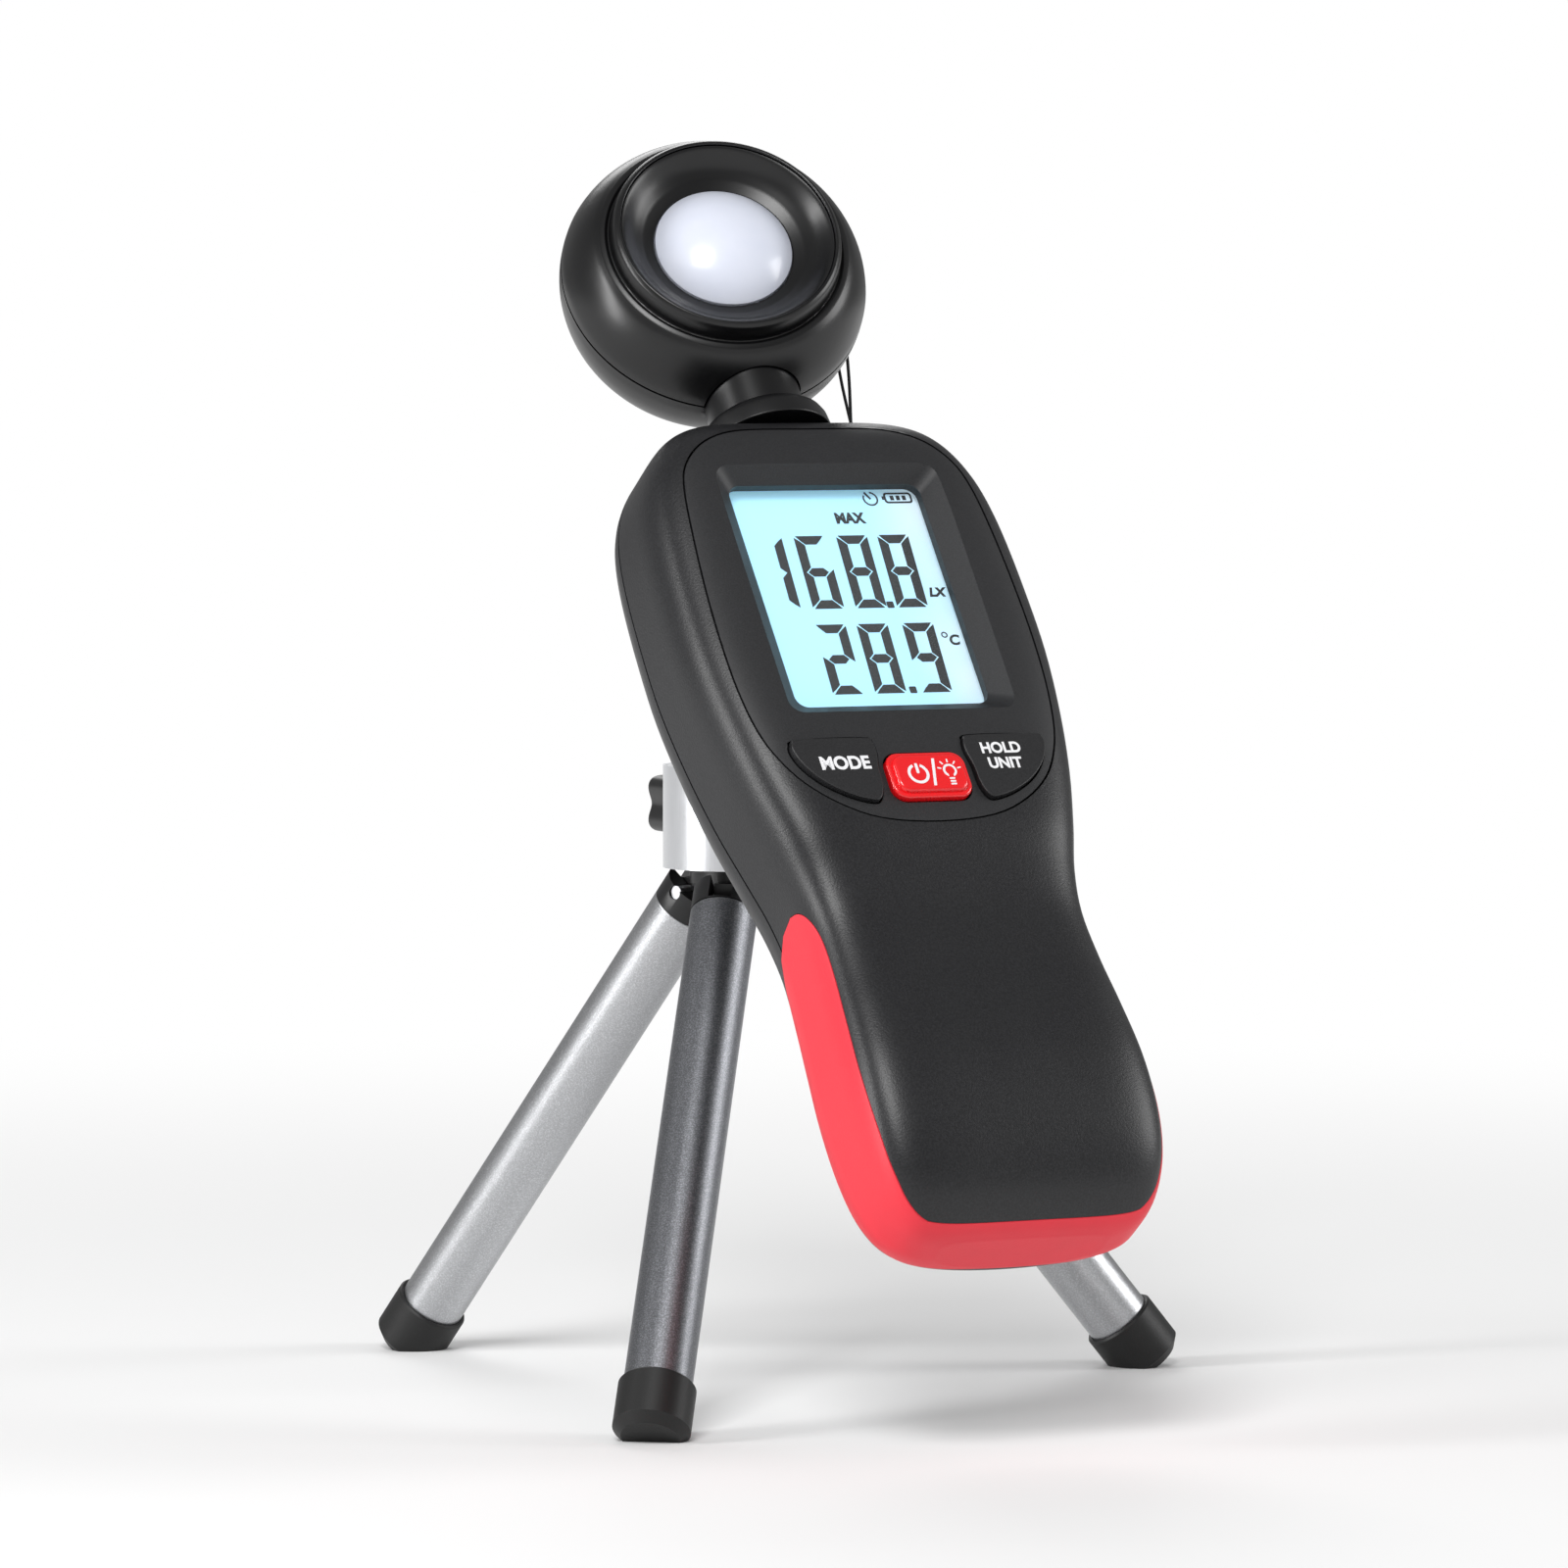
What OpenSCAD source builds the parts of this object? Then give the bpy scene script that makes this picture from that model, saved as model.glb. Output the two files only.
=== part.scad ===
// Handheld light meter on a small three-legged stand, in millimetres.
// World frame: +Z up, origin on the floor under the column, face towards -Y.

/* [Meter case] */
// Length of the case, without the sensor head
case_len = 137; // [110:0.5:165]
// Width of the case across the display
case_w = 59; // [48:0.5:72]
// Thickness of the case from back to face
case_t = 30; // [26:0.5:36]
// Wall thickness of the case shells
wall = 2.2; // [1.8:0.1:2.6]

/* [Display and keys] */
// Width of the visible display
lcd_w = 31.5; // [26:0.5:34]
// Height of the visible display
lcd_h = 39; // [32:0.5:42]
// How far a key goes down
key_travel = 0.8; // [0.4:0.1:1]

/* [Sensor head] */
// Outer radius of the sensor head
head_r = 23.2; // [20:0.1:28]
// Radius of the white diffuser dome
dome_r = 10.4; // [9:0.1:12]
// Radius of the neck shaft that the head turns on
neck_r = 5; // [4:0.1:5.2]
// How far the head is turned about its neck, degrees
head_turn = -11; // [-80:1:80]

/* [Ball head] */
// How far the meter leans back from upright, degrees
lean = 36.5; // [30:0.5:60]
// Radius of the ball
ball_r = 6.5; // [5.5:0.1:7]
// Radius of the column
column_r = 11; // [10.5:0.1:13]
// Height of the column
column_h = 15.4; // [13:0.1:20]

/* [Legs] */
// Length of a leg from its pivot to the floor
leg_len = 95.2; // [80:0.2:120]
// Angle of a leg from upright, degrees
leg_splay = 39; // [30:0.5:45]
// Outer radius of a leg tube
tube_r = 5; // [4:0.1:5.5]
// Distance of the leg pivots from the column's axis
pivot_r = 8; // [7.5:0.1:9]

/* [Hidden] */
$fn = 64;
eps = 0.01;
gap = 0.3;                                  // clearance between moulded pieces
fit = 0.05;                                 // running and push fits, radial

pivot_z = leg_len * cos(leg_splay);
column_z = pivot_z + 4;
ball_z = column_z + column_h + 1.1;
notch_w = 7.2;
knob_z = column_z + 8.6;
leg_yaw = [-37, 83, 203];                   // front, right and back leg, from -Y towards +X

kt = case_t / 30;
back_z = 20;                                // case back, measured from the ball's centre
face_z = back_z + case_t;
split_z = back_z + 13 * kt;
ky = case_len / 137;
kx = case_w / 59;
stud_r = 3.1;                               // 1/4 inch camera thread
panel_z = face_z - 4;                       // floor that the front panel sits on
board_z = face_z - 13.6;
lcd_y = -3;
boss_x = max(21.8 * kx, lcd_w / 2 + 6.05);
boss_y = [16, -27];
neck_y = 31 * ky;
head_y = neck_y + head_r + 7.6;
head_z = split_z + 3;
cell_r = 5.2;                               // AAA cells
cell_l = 44.2;
tub_y = -74 * ky;
cell_z = back_z + 11.3;
door_w = 31.6;
door_l = 45.4;

// Stations of the case: [y, half width, face height, back height]
STATIONS = [[-106, 13, 36.5, 29.5], [-105.3, 16.8, 39, 27.4], [-103.6, 19.4, 41.2, 24.8],
  [-100.4, 21.4, 43.8, 21.7], [-95.8, 22.8, 46, 20.2], [-89.5, 23.5, 47.6, 20],
  [-81.5, 23.5, 48.4, 20], [-73, 22.9, 48.1, 20], [-65, 22.3, 47.4, 20], [-57, 22, 47.2, 20],
  [-50, 22.8, 48, 20], [-43, 24.5, 49.3, 20], [-34, 26.7, 49.8, 20], [-24, 28.4, 50, 20],
  [-13, 29.5, 50, 20], [-2, 29.5, 50, 20], [8, 29, 50, 20], [15, 28, 49.9, 20],
  [20, 26.4, 49.6, 20.3], [24, 24.2, 48.9, 21.2], [27, 21.6, 47.4, 22.6], [29.3, 18, 45, 24.8],
  [30.6, 14.2, 42.2, 27.2], [31, 11, 40, 29]];
// Outline of the front panel, right half from top to bottom
PANEL = [[0, 26], [9, 26], [14, 25.2], [18.5, 23], [21.8, 19.5], [23.4, 15], [24.4, 7],
  [25.1, -3], [25.3, -12], [25, -20], [24, -27], [22.3, -32], [19.5, -36.5], [15, -40.3],
  [9, -42.8], [0, -43.6]];
// Outline of the right-hand key; the left one is its mirror image
SIDE_KEY = [[8.6, -29.8], [19, -29.8], [20.3, -30.4], [20.4, -32], [19.2, -34.6],
  [16.8, -37.2], [13.4, -39.3], [10, -40.4], [8.7, -40], [7.9, -38], [7.7, -35],
  [7.2, -32.4], [7.4, -30.6]];
// Outline of the grip band seen from the side, as [y, height]; it runs out past the end
BAND = [[-52.5, 38.6], [-53.2, 40.7], [-55.2, 42.3], [-59, 43.4], [-66, 44], [-80, 44.6],
  [-90, 44.3], [-97, 43], [-101, 41.5], [-104, 40], [-125, 39], [-125, 28.6], [-66, 28.6],
  [-59.5, 29.6], [-55.5, 32], [-53.3, 35]];

function mirrored(pts) = concat(pts, [for (i = [len(pts) - 1:-1:0])
  if (abs(pts[i].x) > eps) [-pts[i].x, pts[i].y]]);
function fitted(pts) = [for (p = pts) [p.x * kx, p.y * ky]];
function middle(pts) = [for (i = [0, 1]) (max([for (p = pts) p[i]]) + min([for (p = pts) p[i]])) / 2];
function grown(pts, g, c) = [for (p = pts) p + g * (p - c) / norm(p - c)];
function rounded(w, h, r, n = 6) = [for (q = [0:3], i = [0:n])
  let (s = [[1, 1], [-1, 1], [-1, -1], [1, -1]][q], a = 90 * (q + i / n))
  [s.x * (w / 2 - r) + r * cos(a), s.y * (h / 2 - r) + r * sin(a)]];
function turned(p, a) = [p.x * cos(a) + p.z * sin(a), p.y, p.z * cos(a) - p.x * sin(a)];
function flip(pts) = [for (i = [len(pts) - 1:-1:0]) [-pts[i].x, pts[i].y]];

panel_pts = fitted(mirrored(PANEL));
panel_mid = middle(panel_pts);
hold_pts = fitted(SIDE_KEY);
mode_pts = flip(hold_pts);
eyelet = [20.5 * kx, 22 * ky, back_z + 1];
power_pts = [for (p = rounded(12.8, 7.7, 2.2)) p + [0, -36.5 * ky]];

// ---- placing ----

module on_meter() translate([0, 0, ball_z]) rotate([90 - lean, 0, 0]) children();
module on_head() on_meter() translate([0, head_y, head_z]) rotate([0, head_turn, 0]) children();
module on_leg(k) rotate([0, 0, leg_yaw[k]]) translate([0, -pivot_r, pivot_z])
  rotate([180 - leg_splay, 0, 0]) children();
module plate(pts, z0, z1) translate([0, 0, z0]) linear_extrude(z1 - z0) polygon(pts);
module box(lo, hi) translate(lo) cube(hi - lo);
module rod(r, z0, z1) translate([0, 0, z0]) cylinder(r = r, h = z1 - z0);
module ring(r0, r1, z0, z1) difference() {
  rod(r1, z0, z1);
  rod(r0, z0 - 1, z1 + 1);
}
module at_bosses() for (x = [boss_x, -boss_x], y = boss_y) translate([x, y * ky, 0]) children();

// ---- case form ----

// Half of a cross-section as points; dir is 1 for the face side and -1 for the back side
function half_ring(w, h, dir, n, power, skirt) =
  concat(skirt > 0 ? [[w, split_z - dir * skirt]] : [],
    [for (i = [0:n]) let (a = 180 * i / n)
      [w * sign(cos(a)) * pow(abs(cos(a)), 2 / power), split_z + dir * h * pow(sin(a), 2 / power)]],
    skirt > 0 ? [[-w, split_z - dir * skirt]] : []);

// Place along the case and heights of a station, for a form grown by g
function row_y(i, g) = let (last = len(STATIONS) - 1)
  STATIONS[i][0] * ky + (i == 0 ? -g : i == last ? g : 0) +
  (i < 4 ? -g * (1 - i / 4) * 0.4 : i > last - 4 ? g * (1 - (last - i) / 4) * 0.4 : 0);
function row_h(i, dir, g) = g + (dir > 0 ? back_z + (STATIONS[i][2] - 20) * kt - split_z
                                         : split_z - back_z - (STATIONS[i][3] - 20) * kt);
function back_row(i, g) = let (r = half_ring(STATIONS[i][1] * kx + g, row_h(i, -1, g), -1, 16, 2.1, 0))
  [for (k = [len(r) - 1:-1:0]) [r[k].x, row_y(i, g), r[k].y - 0.15]];

// Closes a solid over equal rings of points
module loft(rows, dir) {
  m = len(rows);
  c = len(rows[0]);
  faces = concat(
    [[for (j = [0:c - 1]) j]],
    [[for (j = [c - 1:-1:0]) (m - 1) * c + j]],
    [for (i = [0:m - 2], j = [0:c - 1], t = [0, 1]) let (k = (j + 1) % c)
      t == 0 ? [i * c + j, (i + 1) * c + j, (i + 1) * c + k]
             : [i * c + j, (i + 1) * c + k, i * c + k]]);
  polyhedron([for (r = rows) each r],
    dir > 0 ? [for (f = faces) [for (q = [len(f) - 1:-1:0]) f[q]]] : faces, convexity = 6);
}

// One half of the case, grown by g and carried skirt past the parting plane
module case_half(dir, g, skirt, n, power)
  loft([for (i = [0:len(STATIONS) - 1])
    [for (p = half_ring(STATIONS[i][1] * kx + g, row_h(i, dir, g), dir, n, power, skirt))
      [p.x, row_y(i, g), p.y]]], dir);
// Both halves as one solid, with the seam between them closed
module full_form(g = 0)
  loft([for (i = [0:len(STATIONS) - 1]) concat(
    [for (p = half_ring(STATIONS[i][1] * kx + g, row_h(i, 1, g), 1, 16, 6, 0))
      [p.x, row_y(i, g), p.y + 0.15]],
    back_row(i, g))], 1);
module face_form(g = 0, skirt = 0) case_half(1, g, skirt, 16, 6);
module back_form(g = 0, skirt = 0) case_half(-1, g, skirt, 16, 2.1);
module band_zone(g) rotate([90, 0, 90]) plate(grown([for (p = BAND)
  [p.x * ky, back_z + (p.y - 20) * kt]], g, [-80 * ky, split_z + 6]), -60, 60);

// Bearing for the neck, split between the two shells, and the space for its shaft and clip
module neck_block() translate([0, neck_y - 7, head_z]) rotate([-90, 0, 0]) rod(8.6, 0, 6.8);
module neck_bore() translate([0, neck_y, head_z]) rotate([-90, 0, 0]) {
  rod(neck_r + fit, -10, 10);
  rod(6.9, -8.8, -6.9);
}

// ---- case pieces ----

module front_shell() color([0.13, 0.13, 0.14]) on_meter() {
  difference() {
    union() {
      difference() {
        translate([0, 0, 0.15]) face_form();
        face_form(-wall, 2);
      }
      intersection() {
        plate(grown(panel_pts, 1.9, panel_mid), panel_z - 2, face_z - 1.6);
        face_form(-0.5);
      }
      at_bosses() rod(2.2, board_z + 1.8, panel_z - 1);
      intersection() {
        neck_block();
        translate([0, 0, 0.15]) face_form(-0.5);
      }
    }
    plate(grown(panel_pts, gap, panel_mid), panel_z, face_z + 5);
    translate([0, lcd_y * ky, 0]) plate(rounded(lcd_w + 4.4, lcd_h + 4.4, 2), 0, face_z);
    for (k = [hold_pts, mode_pts, power_pts])
      plate(grown(k, 0.4, middle(k)), 0, face_z);
    neck_bore();
    at_bosses() rod(1.2, 0, panel_z - 3.2);
    difference() {
      band_zone(0.05);
      face_form(-1.25);
    }
  }
}

module rear_shell() color([0.12, 0.12, 0.13]) on_meter() difference() {
  union() {
    difference() {
      translate([0, 0, -0.15]) back_form();
      back_form(-wall, 2);
    }
    rod(10.9, back_z - 0.1, back_z + 2.6);
    rod(7.2, back_z + 1, back_z + 8.6);
    at_bosses() rod(2.8, back_z + 7, board_z - 0.2);
    intersection() {
      neck_block();
      translate([0, 0, -0.15]) back_form(-0.5);
    }
    translate([0, -47.5 * ky, 0]) rod(2.8, back_z + 1.7, back_z + 8.7);
    translate(eyelet - [0.8, 2, 1.5]) cube([1.6, 4, 7]);
  }
  neck_bore();
  rod(stud_r + 0.3, 0, back_z + 30);
  rod(4.7 + fit, back_z + 0.7, back_z + 30);
  at_bosses() {
    rod(2.45, 0, back_z + 8.3);
    rod(1.5, 0, board_z + 5);
  }
  translate([0, tub_y, 0])
    plate(rounded(door_w + 0.6, door_l + 0.6, 2.5), 0, back_z + 8);
  box([-5.3, tub_y, 0], [5.3, -44.2 * ky, back_z + 1.7]);
  translate([0, -47.5 * ky, 0]) rod(1.2 + fit, 0, back_z + 8.2);
  difference() {
    band_zone(0.05);
    back_form(-1.25);
  }
  translate(eyelet - [5, 0, 0]) rotate([0, 90, 0]) cylinder(r = 0.45, h = 10);
}

// Rubber band round the handle's end; it laps over the seam onto both shells
module grip_band() color([0.85, 0.16, 0.19]) on_meter() intersection() {
  difference() {
    full_form();
    full_form(-1.2);
  }
  band_zone(0);
}

module front_panel() color([0.19, 0.19, 0.2]) on_meter() difference() {
  intersection() {
    plate(panel_pts, panel_z + fit, face_z + 5);
    face_form(0.05);
  }
  translate([0, lcd_y * ky, 0]) {
    plate(rounded(lcd_w, lcd_h, 2), 0, face_z + 5);
    translate([0, 0, panel_z + 1.4]) linear_extrude(4, scale = [1.28, 1.2])
      polygon(rounded(lcd_w, lcd_h, 2));
  }
  for (k = [hold_pts, mode_pts, power_pts])
    plate(grown(k, gap, middle(k)), 0, face_z + 5);
}

module display_window() color([0.75, 0.85, 0.9, 0.4]) on_meter() translate([0, lcd_y * ky, 0])
  plate(rounded(lcd_w + 3.8, lcd_h + 3.8, 2), panel_z - 1.1, panel_z);

module lcd_glass() color([0.66, 0.9, 0.98]) on_meter() translate([0, lcd_y * ky, panel_z - 2.9])
  box([-lcd_w / 2 - 1.6, -lcd_h / 2 - 1.6, 0], [lcd_w / 2 + 1.6, lcd_h / 2 + 1.6, 1.7]);

module backlight() color([0.95, 0.97, 1]) on_meter() translate([0, lcd_y * ky, 0])
  box([-lcd_w / 2 - 1.6, -lcd_h / 2 - 1.6, panel_z - 7], [lcd_w / 2 + 1.6, lcd_h / 2 + 1.6, panel_z - 3]);

module lcd_frame() color([0.85, 0.85, 0.83]) on_meter() translate([0, lcd_y * ky, 0]) difference() {
  plate(rounded(lcd_w + 6.8, lcd_h + 7, 2.5), board_z + 1.7, panel_z - 2.1);
  box([-lcd_w / 2 - 1.8, -lcd_h / 2 - 1.8, board_z], [lcd_w / 2 + 1.8, lcd_h / 2 + 1.8, panel_z]);
}

module main_board() color([0.1, 0.38, 0.22]) on_meter() difference() {
  plate(fitted([[-18, 20.6], [18, 20.6], [24.4, 12], [24.4, -30], [20, -38], [12, -46],
    [-12, -46], [-20, -38], [-24.4, -30], [-24.4, 12]]), board_z, board_z + 1.6);
  at_bosses() rod(1.5, 0, face_z);
}

module board_chips() color([0.08, 0.08, 0.09]) on_meter() translate([0, 0, board_z - 1.9]) {
  box([-16, -26, 0], [-6, -16, 1.8]);
  box([2, -22, 0.4], [8, -17, 1.8]);
  box([-14, 11, 0.6], [-8, 15, 1.8]);
  box([9, -36, 0.2], [14, -30, 1.8]);
}

module keypad_mat() color([0.3, 0.3, 0.32]) on_meter() translate([0, 0, board_z + 1.7]) {
  box([-19, -43.4 * ky, 0], [19, -28.4 * ky, 1]);
  for (x = [-13.4 * kx, 0, 13.4 * kx]) translate([x, -35.4 * ky, 0])
    rod(3, 0.5, panel_z - board_z - key_travel - 5.35);
}

module key_body(pts, top, flange) {
  plate(pts, panel_z - 2.8, top);
  plate(flange, panel_z - 3.6, panel_z - 2.4);
}
function key_flange(s) = fitted([[s * 8.2, -30.6], [s * 19.2, -30.6], [s * 19.2, -33.6],
  [s * 12.6, -39.6], [s * 8.2, -39.6]]);

module mode_key() color([0.15, 0.15, 0.16]) on_meter()
  key_body(mode_pts, face_z + 0.4, key_flange(-1));
module hold_key() color([0.15, 0.15, 0.16]) on_meter()
  key_body(hold_pts, face_z + 0.4, key_flange(1));
module power_key() color([0.93, 0.12, 0.14]) on_meter() {
  key_body(power_pts, face_z + 0.5, [for (p = rounded(14.6, 8.6, 2)) p + [0, -36.5 * ky]]);
  translate([0, -36.5 * ky, 0]) plate(rounded(11.4, 6.3, 1.8), face_z, face_z + 1.2);
}

module battery_tub() color([0.14, 0.14, 0.15]) on_meter() translate([0, tub_y, 0]) difference() {
  box([-17.2, -cell_l / 2 - 2.8, cell_z - 2.3], [17.2, cell_l / 2 + 2.8, cell_z + 6.8]);
  box([-16.3, -cell_l / 2 - 1.9, 0], [16.3, cell_l / 2 + 1.9, cell_z + 5.8]);
}

module batteries() color([0.2, 0.45, 0.75]) on_meter() for (k = [-1, 0, 1])
  translate([k * (2 * cell_r + 0.3), tub_y, cell_z]) rotate([90, 0, 0])
    scale([1, 1, k == 0 ? -1 : 1]) {
      rod(cell_r, -cell_l / 2, cell_l / 2 - 1);
      rod(1.9, cell_l / 2 - 1.1, cell_l / 2);
    }

module battery_contacts() color([0.8, 0.8, 0.78]) on_meter() for (k = [-1, 0, 1])
  translate([k * (2 * cell_r + 0.3), tub_y, cell_z]) rotate([90, 0, 0])
    scale([1, 1, k == 0 ? -1 : 1]) {
      box([-4, -4, cell_l / 2 + 1.2], [4, 4, cell_l / 2 + 1.6]);
      box([-1.5, -1.5, cell_l / 2 + 0.1], [1.5, 1.5, cell_l / 2 + 1.3]);
      box([-4, -4, -cell_l / 2 - 1.6], [4, 4, -cell_l / 2 - 1.2]);
      translate([0, 0, -cell_l / 2 - 1.3]) cylinder(r1 = 3.4, r2 = 2, h = 1.2);
    }

module case_screws() color([0.75, 0.75, 0.76]) on_meter() at_bosses() difference() {
  union() {
    rod(2.3, back_z + 6.4, back_z + 8.25);
    rod(1.15, back_z + 8.2, panel_z - 3.6);
  }
  box([-1.6, -0.3, back_z + 6], [1.6, 0.3, back_z + 7.2]);
  box([-0.3, -1.6, back_z + 6], [0.3, 1.6, back_z + 7.2]);
}

module tripod_nut() color([0.8, 0.65, 0.3]) on_meter()
  ring(stud_r + fit, 4.7, back_z + 0.75, back_z + 8.4);

module buzzer() color([0.1, 0.1, 0.11]) on_meter() translate([-10.5, 4, 0])
  ring(0.8, 4.5, board_z - 4.6, board_z - 0.15);

module neck_collar() color([0.1, 0.1, 0.11]) on_meter() translate([0, neck_y, head_z])
  rotate([-90, 0, 0]) rotate_extrude() polygon([[neck_r + fit, 0.06], [neck_r + fit, 4.3], [7.9, 4.3],
    [8.9, 4], [9.6, 3.3], [10, 2.3], [10.2, 0.06]]);

// ---- battery door ----

module battery_door() color([0.12, 0.12, 0.13]) on_meter() {
  curve = [for (i = [-12:12]) let (x = door_w / 2 * i / 12) [x, back_z + 13.1 -
    13 * pow(1 - pow(abs(x) / 22.6, 2.1), 1 / 2.1)]];
  difference() {
    union() {
      intersection() {
        translate([0, tub_y, 0]) plate(rounded(door_w, door_l, 2.2), back_z, back_z + 8);
        rotate([90, 0, 0]) plate(concat(curve, [for (i = [24:-1:0]) curve[i] + [0, 1.8]]),
          -tub_y - door_l, door_l - tub_y);
      }
      box([-5, tub_y + door_l / 2 - 2, back_z + 0.3], [5, -44.5 * ky, back_z + 1.5]);
    }
    translate([0, -47.5 * ky, 0]) rod(1.4, 0, face_z);
    for (k = [0:4]) translate([0, tub_y - 10 - 2.2 * k, 0])
      box([-8, -0.5, 0], [8, 0.5, back_z + 0.9]);
  }
}

module door_screw() color([0.7, 0.7, 0.71]) on_meter() translate([0, -47.5 * ky, 0]) difference() {
  union() {
    rod(2.3, back_z - 1.1, back_z + 0.2);
    rod(1.2, back_z + 0.15, back_z + 7.6);
  }
  box([-1.6, -0.3, back_z - 2], [1.6, 0.3, back_z - 0.4]);
}

// ---- sensor head ----

FRONT_SKIN = [[24.2, 0.15], [24.05, 2], [23.3, 4.6], [22.2, 6.9], [20.9, 8.7], [19.7, 9.7],
  [19, 9.9], [18.5, 9.5], [18.25, 9.7], [18.2, 11.8], [17.95, 12.6], [17.4, 13.1]];
BACK_SKIN = [[24.2, -0.15], [24.05, -2.4], [23.4, -5.2], [22, -8.2], [19.6, -11], [16.4, -13.2],
  [12, -14.8], [6, -15.7], [0, -15.9]];
kh = head_r / 24.2;
lug_turn = 31;
lug_r = head_r + 3;

module head_front_shell() color([0.05, 0.05, 0.06]) on_head() difference() {
  rotate_extrude() polygon(concat([for (p = FRONT_SKIN) [p.x * kh, p.y]],
    [[17 * kh, 13], [17 * kh, 8.8], [17.6 * kh, 7.9], [19.6 * kh, 6.7], [21 * kh, 4.4],
     [21.8 * kh, 2], [22 * kh, 0.15]]));
  translate([0, -14, 0]) rotate([90, 0, 0]) rod(7.6, 0, 30);
}

module head_rear_shell() color([0.05, 0.05, 0.06]) on_head() {
  reach = head_y - neck_y;                  // from the head's centre to the top of the case
  difference() {
    union() {
      rotate_extrude() polygon(concat([for (p = BACK_SKIN) [p.x * kh, p.y]],
        [[0, -13.7], [6 * kh, -13.5], [11.4 * kh, -12.7], [15.4 * kh, -11.2], [18.2 * kh, -9.2],
         [20.2 * kh, -7], [21.4 * kh, -4.6], [22 * kh, -2], [22 * kh, -0.15]]));
      for (a = [45, 135]) rotate([0, 0, a]) translate([15, 0, 0]) rod(2.4, -11, 1.5);
      rotate([90, 0, 0]) rod(7.3, head_r - 9.7, reach - 4.6);
      rotate([90, 0, 0]) rod(neck_r, head_r - 9.7, reach + 9.4);
      rotate([0, lug_turn, 0]) translate([lug_r - 7, -1.7, -0.7]) cube([8.2, 3.4, 1.4]);
    }
    for (a = [45, 135]) rotate([0, 0, a]) translate([15, 0, 0]) rod(1.2 + fit, -8, 4);
    rotate([90, 0, 0]) rod(3.6, 0, reach + 10);
    rotate([0, lug_turn, 0]) translate([lug_r, 0, -5]) cylinder(r = 0.45, h = 10);
  }
}

module bezel_ring() color([0.07, 0.07, 0.08]) on_head() rotate_extrude() polygon([
  [16.9 * kh, 12.7], [16.3 * kh, 12.3], [14.6 * kh, 10.6], [12.6 * kh, 9.3], [dome_r + 0.2, 8.8],
  [dome_r + 0.2, 8], [14 * kh, 8], [16.9 * kh, 8.7]]);

module dome_diffuser() color([0.9, 0.91, 0.97]) on_head() difference() {
  union() {
    intersection() {
      translate([0, 0, 13 - 1.5 * dome_r]) sphere(r = 1.5 * dome_r, $fn = 96);
      rod(dome_r, 6, 20);
    }
    rod(dome_r + 1.6, 6.3, 7.8);
  }
  intersection() {
    translate([0, 0, 11.5 - 1.5 * dome_r]) sphere(r = 1.5 * dome_r, $fn = 96);
    rod(dome_r - 1.4, 5, 20);
  }
}

module light_filter() color([0.35, 0.6, 0.45]) on_head() rod(7, 5.2, 6.1);
module photodiode() color([0.12, 0.13, 0.2]) on_head() box([-4, -4, 3.4], [4, 4, 5.1]);
module sensor_board() color([0.1, 0.38, 0.22]) on_head() difference() {
  rod(17.4 * kh, 1.7, 3.3);
  for (a = [45, 135]) rotate([0, 0, a]) translate([15, 0, 0]) rod(2.7, 0, 9);
  translate([0, -22, 0]) box([-8.2, -8, 0], [8.2, 13, 9]);
}
module head_screws() color([0.75, 0.75, 0.76]) on_head() for (a = [45, 135])
  rotate([0, 0, a]) translate([15, 0, 0]) {
    rod(1.2, -7, 3.2);
    rod(2.3, 3.05, 4.4);
  }
module neck_clip() color([0.8, 0.8, 0.8]) on_head() rotate([90, 0, 0])
  ring(neck_r + fit, 6.5, head_y - neck_y + 7.2, head_y - neck_y + 8.4);

// ---- hanging loop: two strands between the head's lug and the case's eyelet ----

module hang_loop() color([0.05, 0.05, 0.05]) on_meter() {
  low = [for (s = [-1, 1]) eyelet + [s * 1.3, 0, 0]];
  top = [for (s = [-1, 1]) [0, head_y, head_z] + turned([lug_r * cos(lug_turn) +
    s * 1.3 * sin(lug_turn), 0, s * 1.3 * cos(lug_turn) - lug_r * sin(lug_turn)], head_turn)];
  for (k = [0, 1]) strand(low[k], top[k], 0.25);
  strand(top[0], top[1], 0.22);
  strand(low[0], low[1], 0.22);
  for (p = concat(low, top)) translate(p) sphere(r = 0.37);
}
module strand(a, b, r) {
  d = b - a;
  translate(a) rotate([0, acos(d.z / norm(d)), atan2(d.y, d.x)]) cylinder(r = r, h = norm(d));
}

// ---- ball head ----

module ball_stud() color([0.75, 0.75, 0.77]) on_meter() {
  intersection() {
    sphere(r = ball_r, $fn = 96);
    rod(20, -ball_r * 0.92, 20);
  }
  rod(2.6, 3, 13.6);
}
module platform() color([0.72, 0.72, 0.74]) on_meter() rotate_extrude()
  polygon([[0, 13.65], [6.5, 13.65], [10.2, 14.6], [10.6, 15.2], [10.6, 17], [10.2, 17.5], [0, 17.5]]);
module platform_pad() color([0.08, 0.08, 0.08]) on_meter() ring(4.4, 10.2, 17.55, 19.85);
module mounting_stud() color([0.78, 0.78, 0.8]) on_meter() rod(stud_r, 17.55, back_z + 7.4);

module notch() box([-notch_w / 2, -30, column_z + 6.4], [notch_w / 2, 0, ball_z + 20]);

module column() color([0.76, 0.77, 0.79]) difference() {
  rod(column_r, column_z, column_z + column_h);
  rod(column_r - 2.6, column_z + 2.4, column_z + 40);
  rod(2.1, 0, column_z + 9);
  notch();
  translate([0, 0, knob_z]) rotate([-90, 0, 0]) rod(2 + fit, 0, 30);
}

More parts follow.
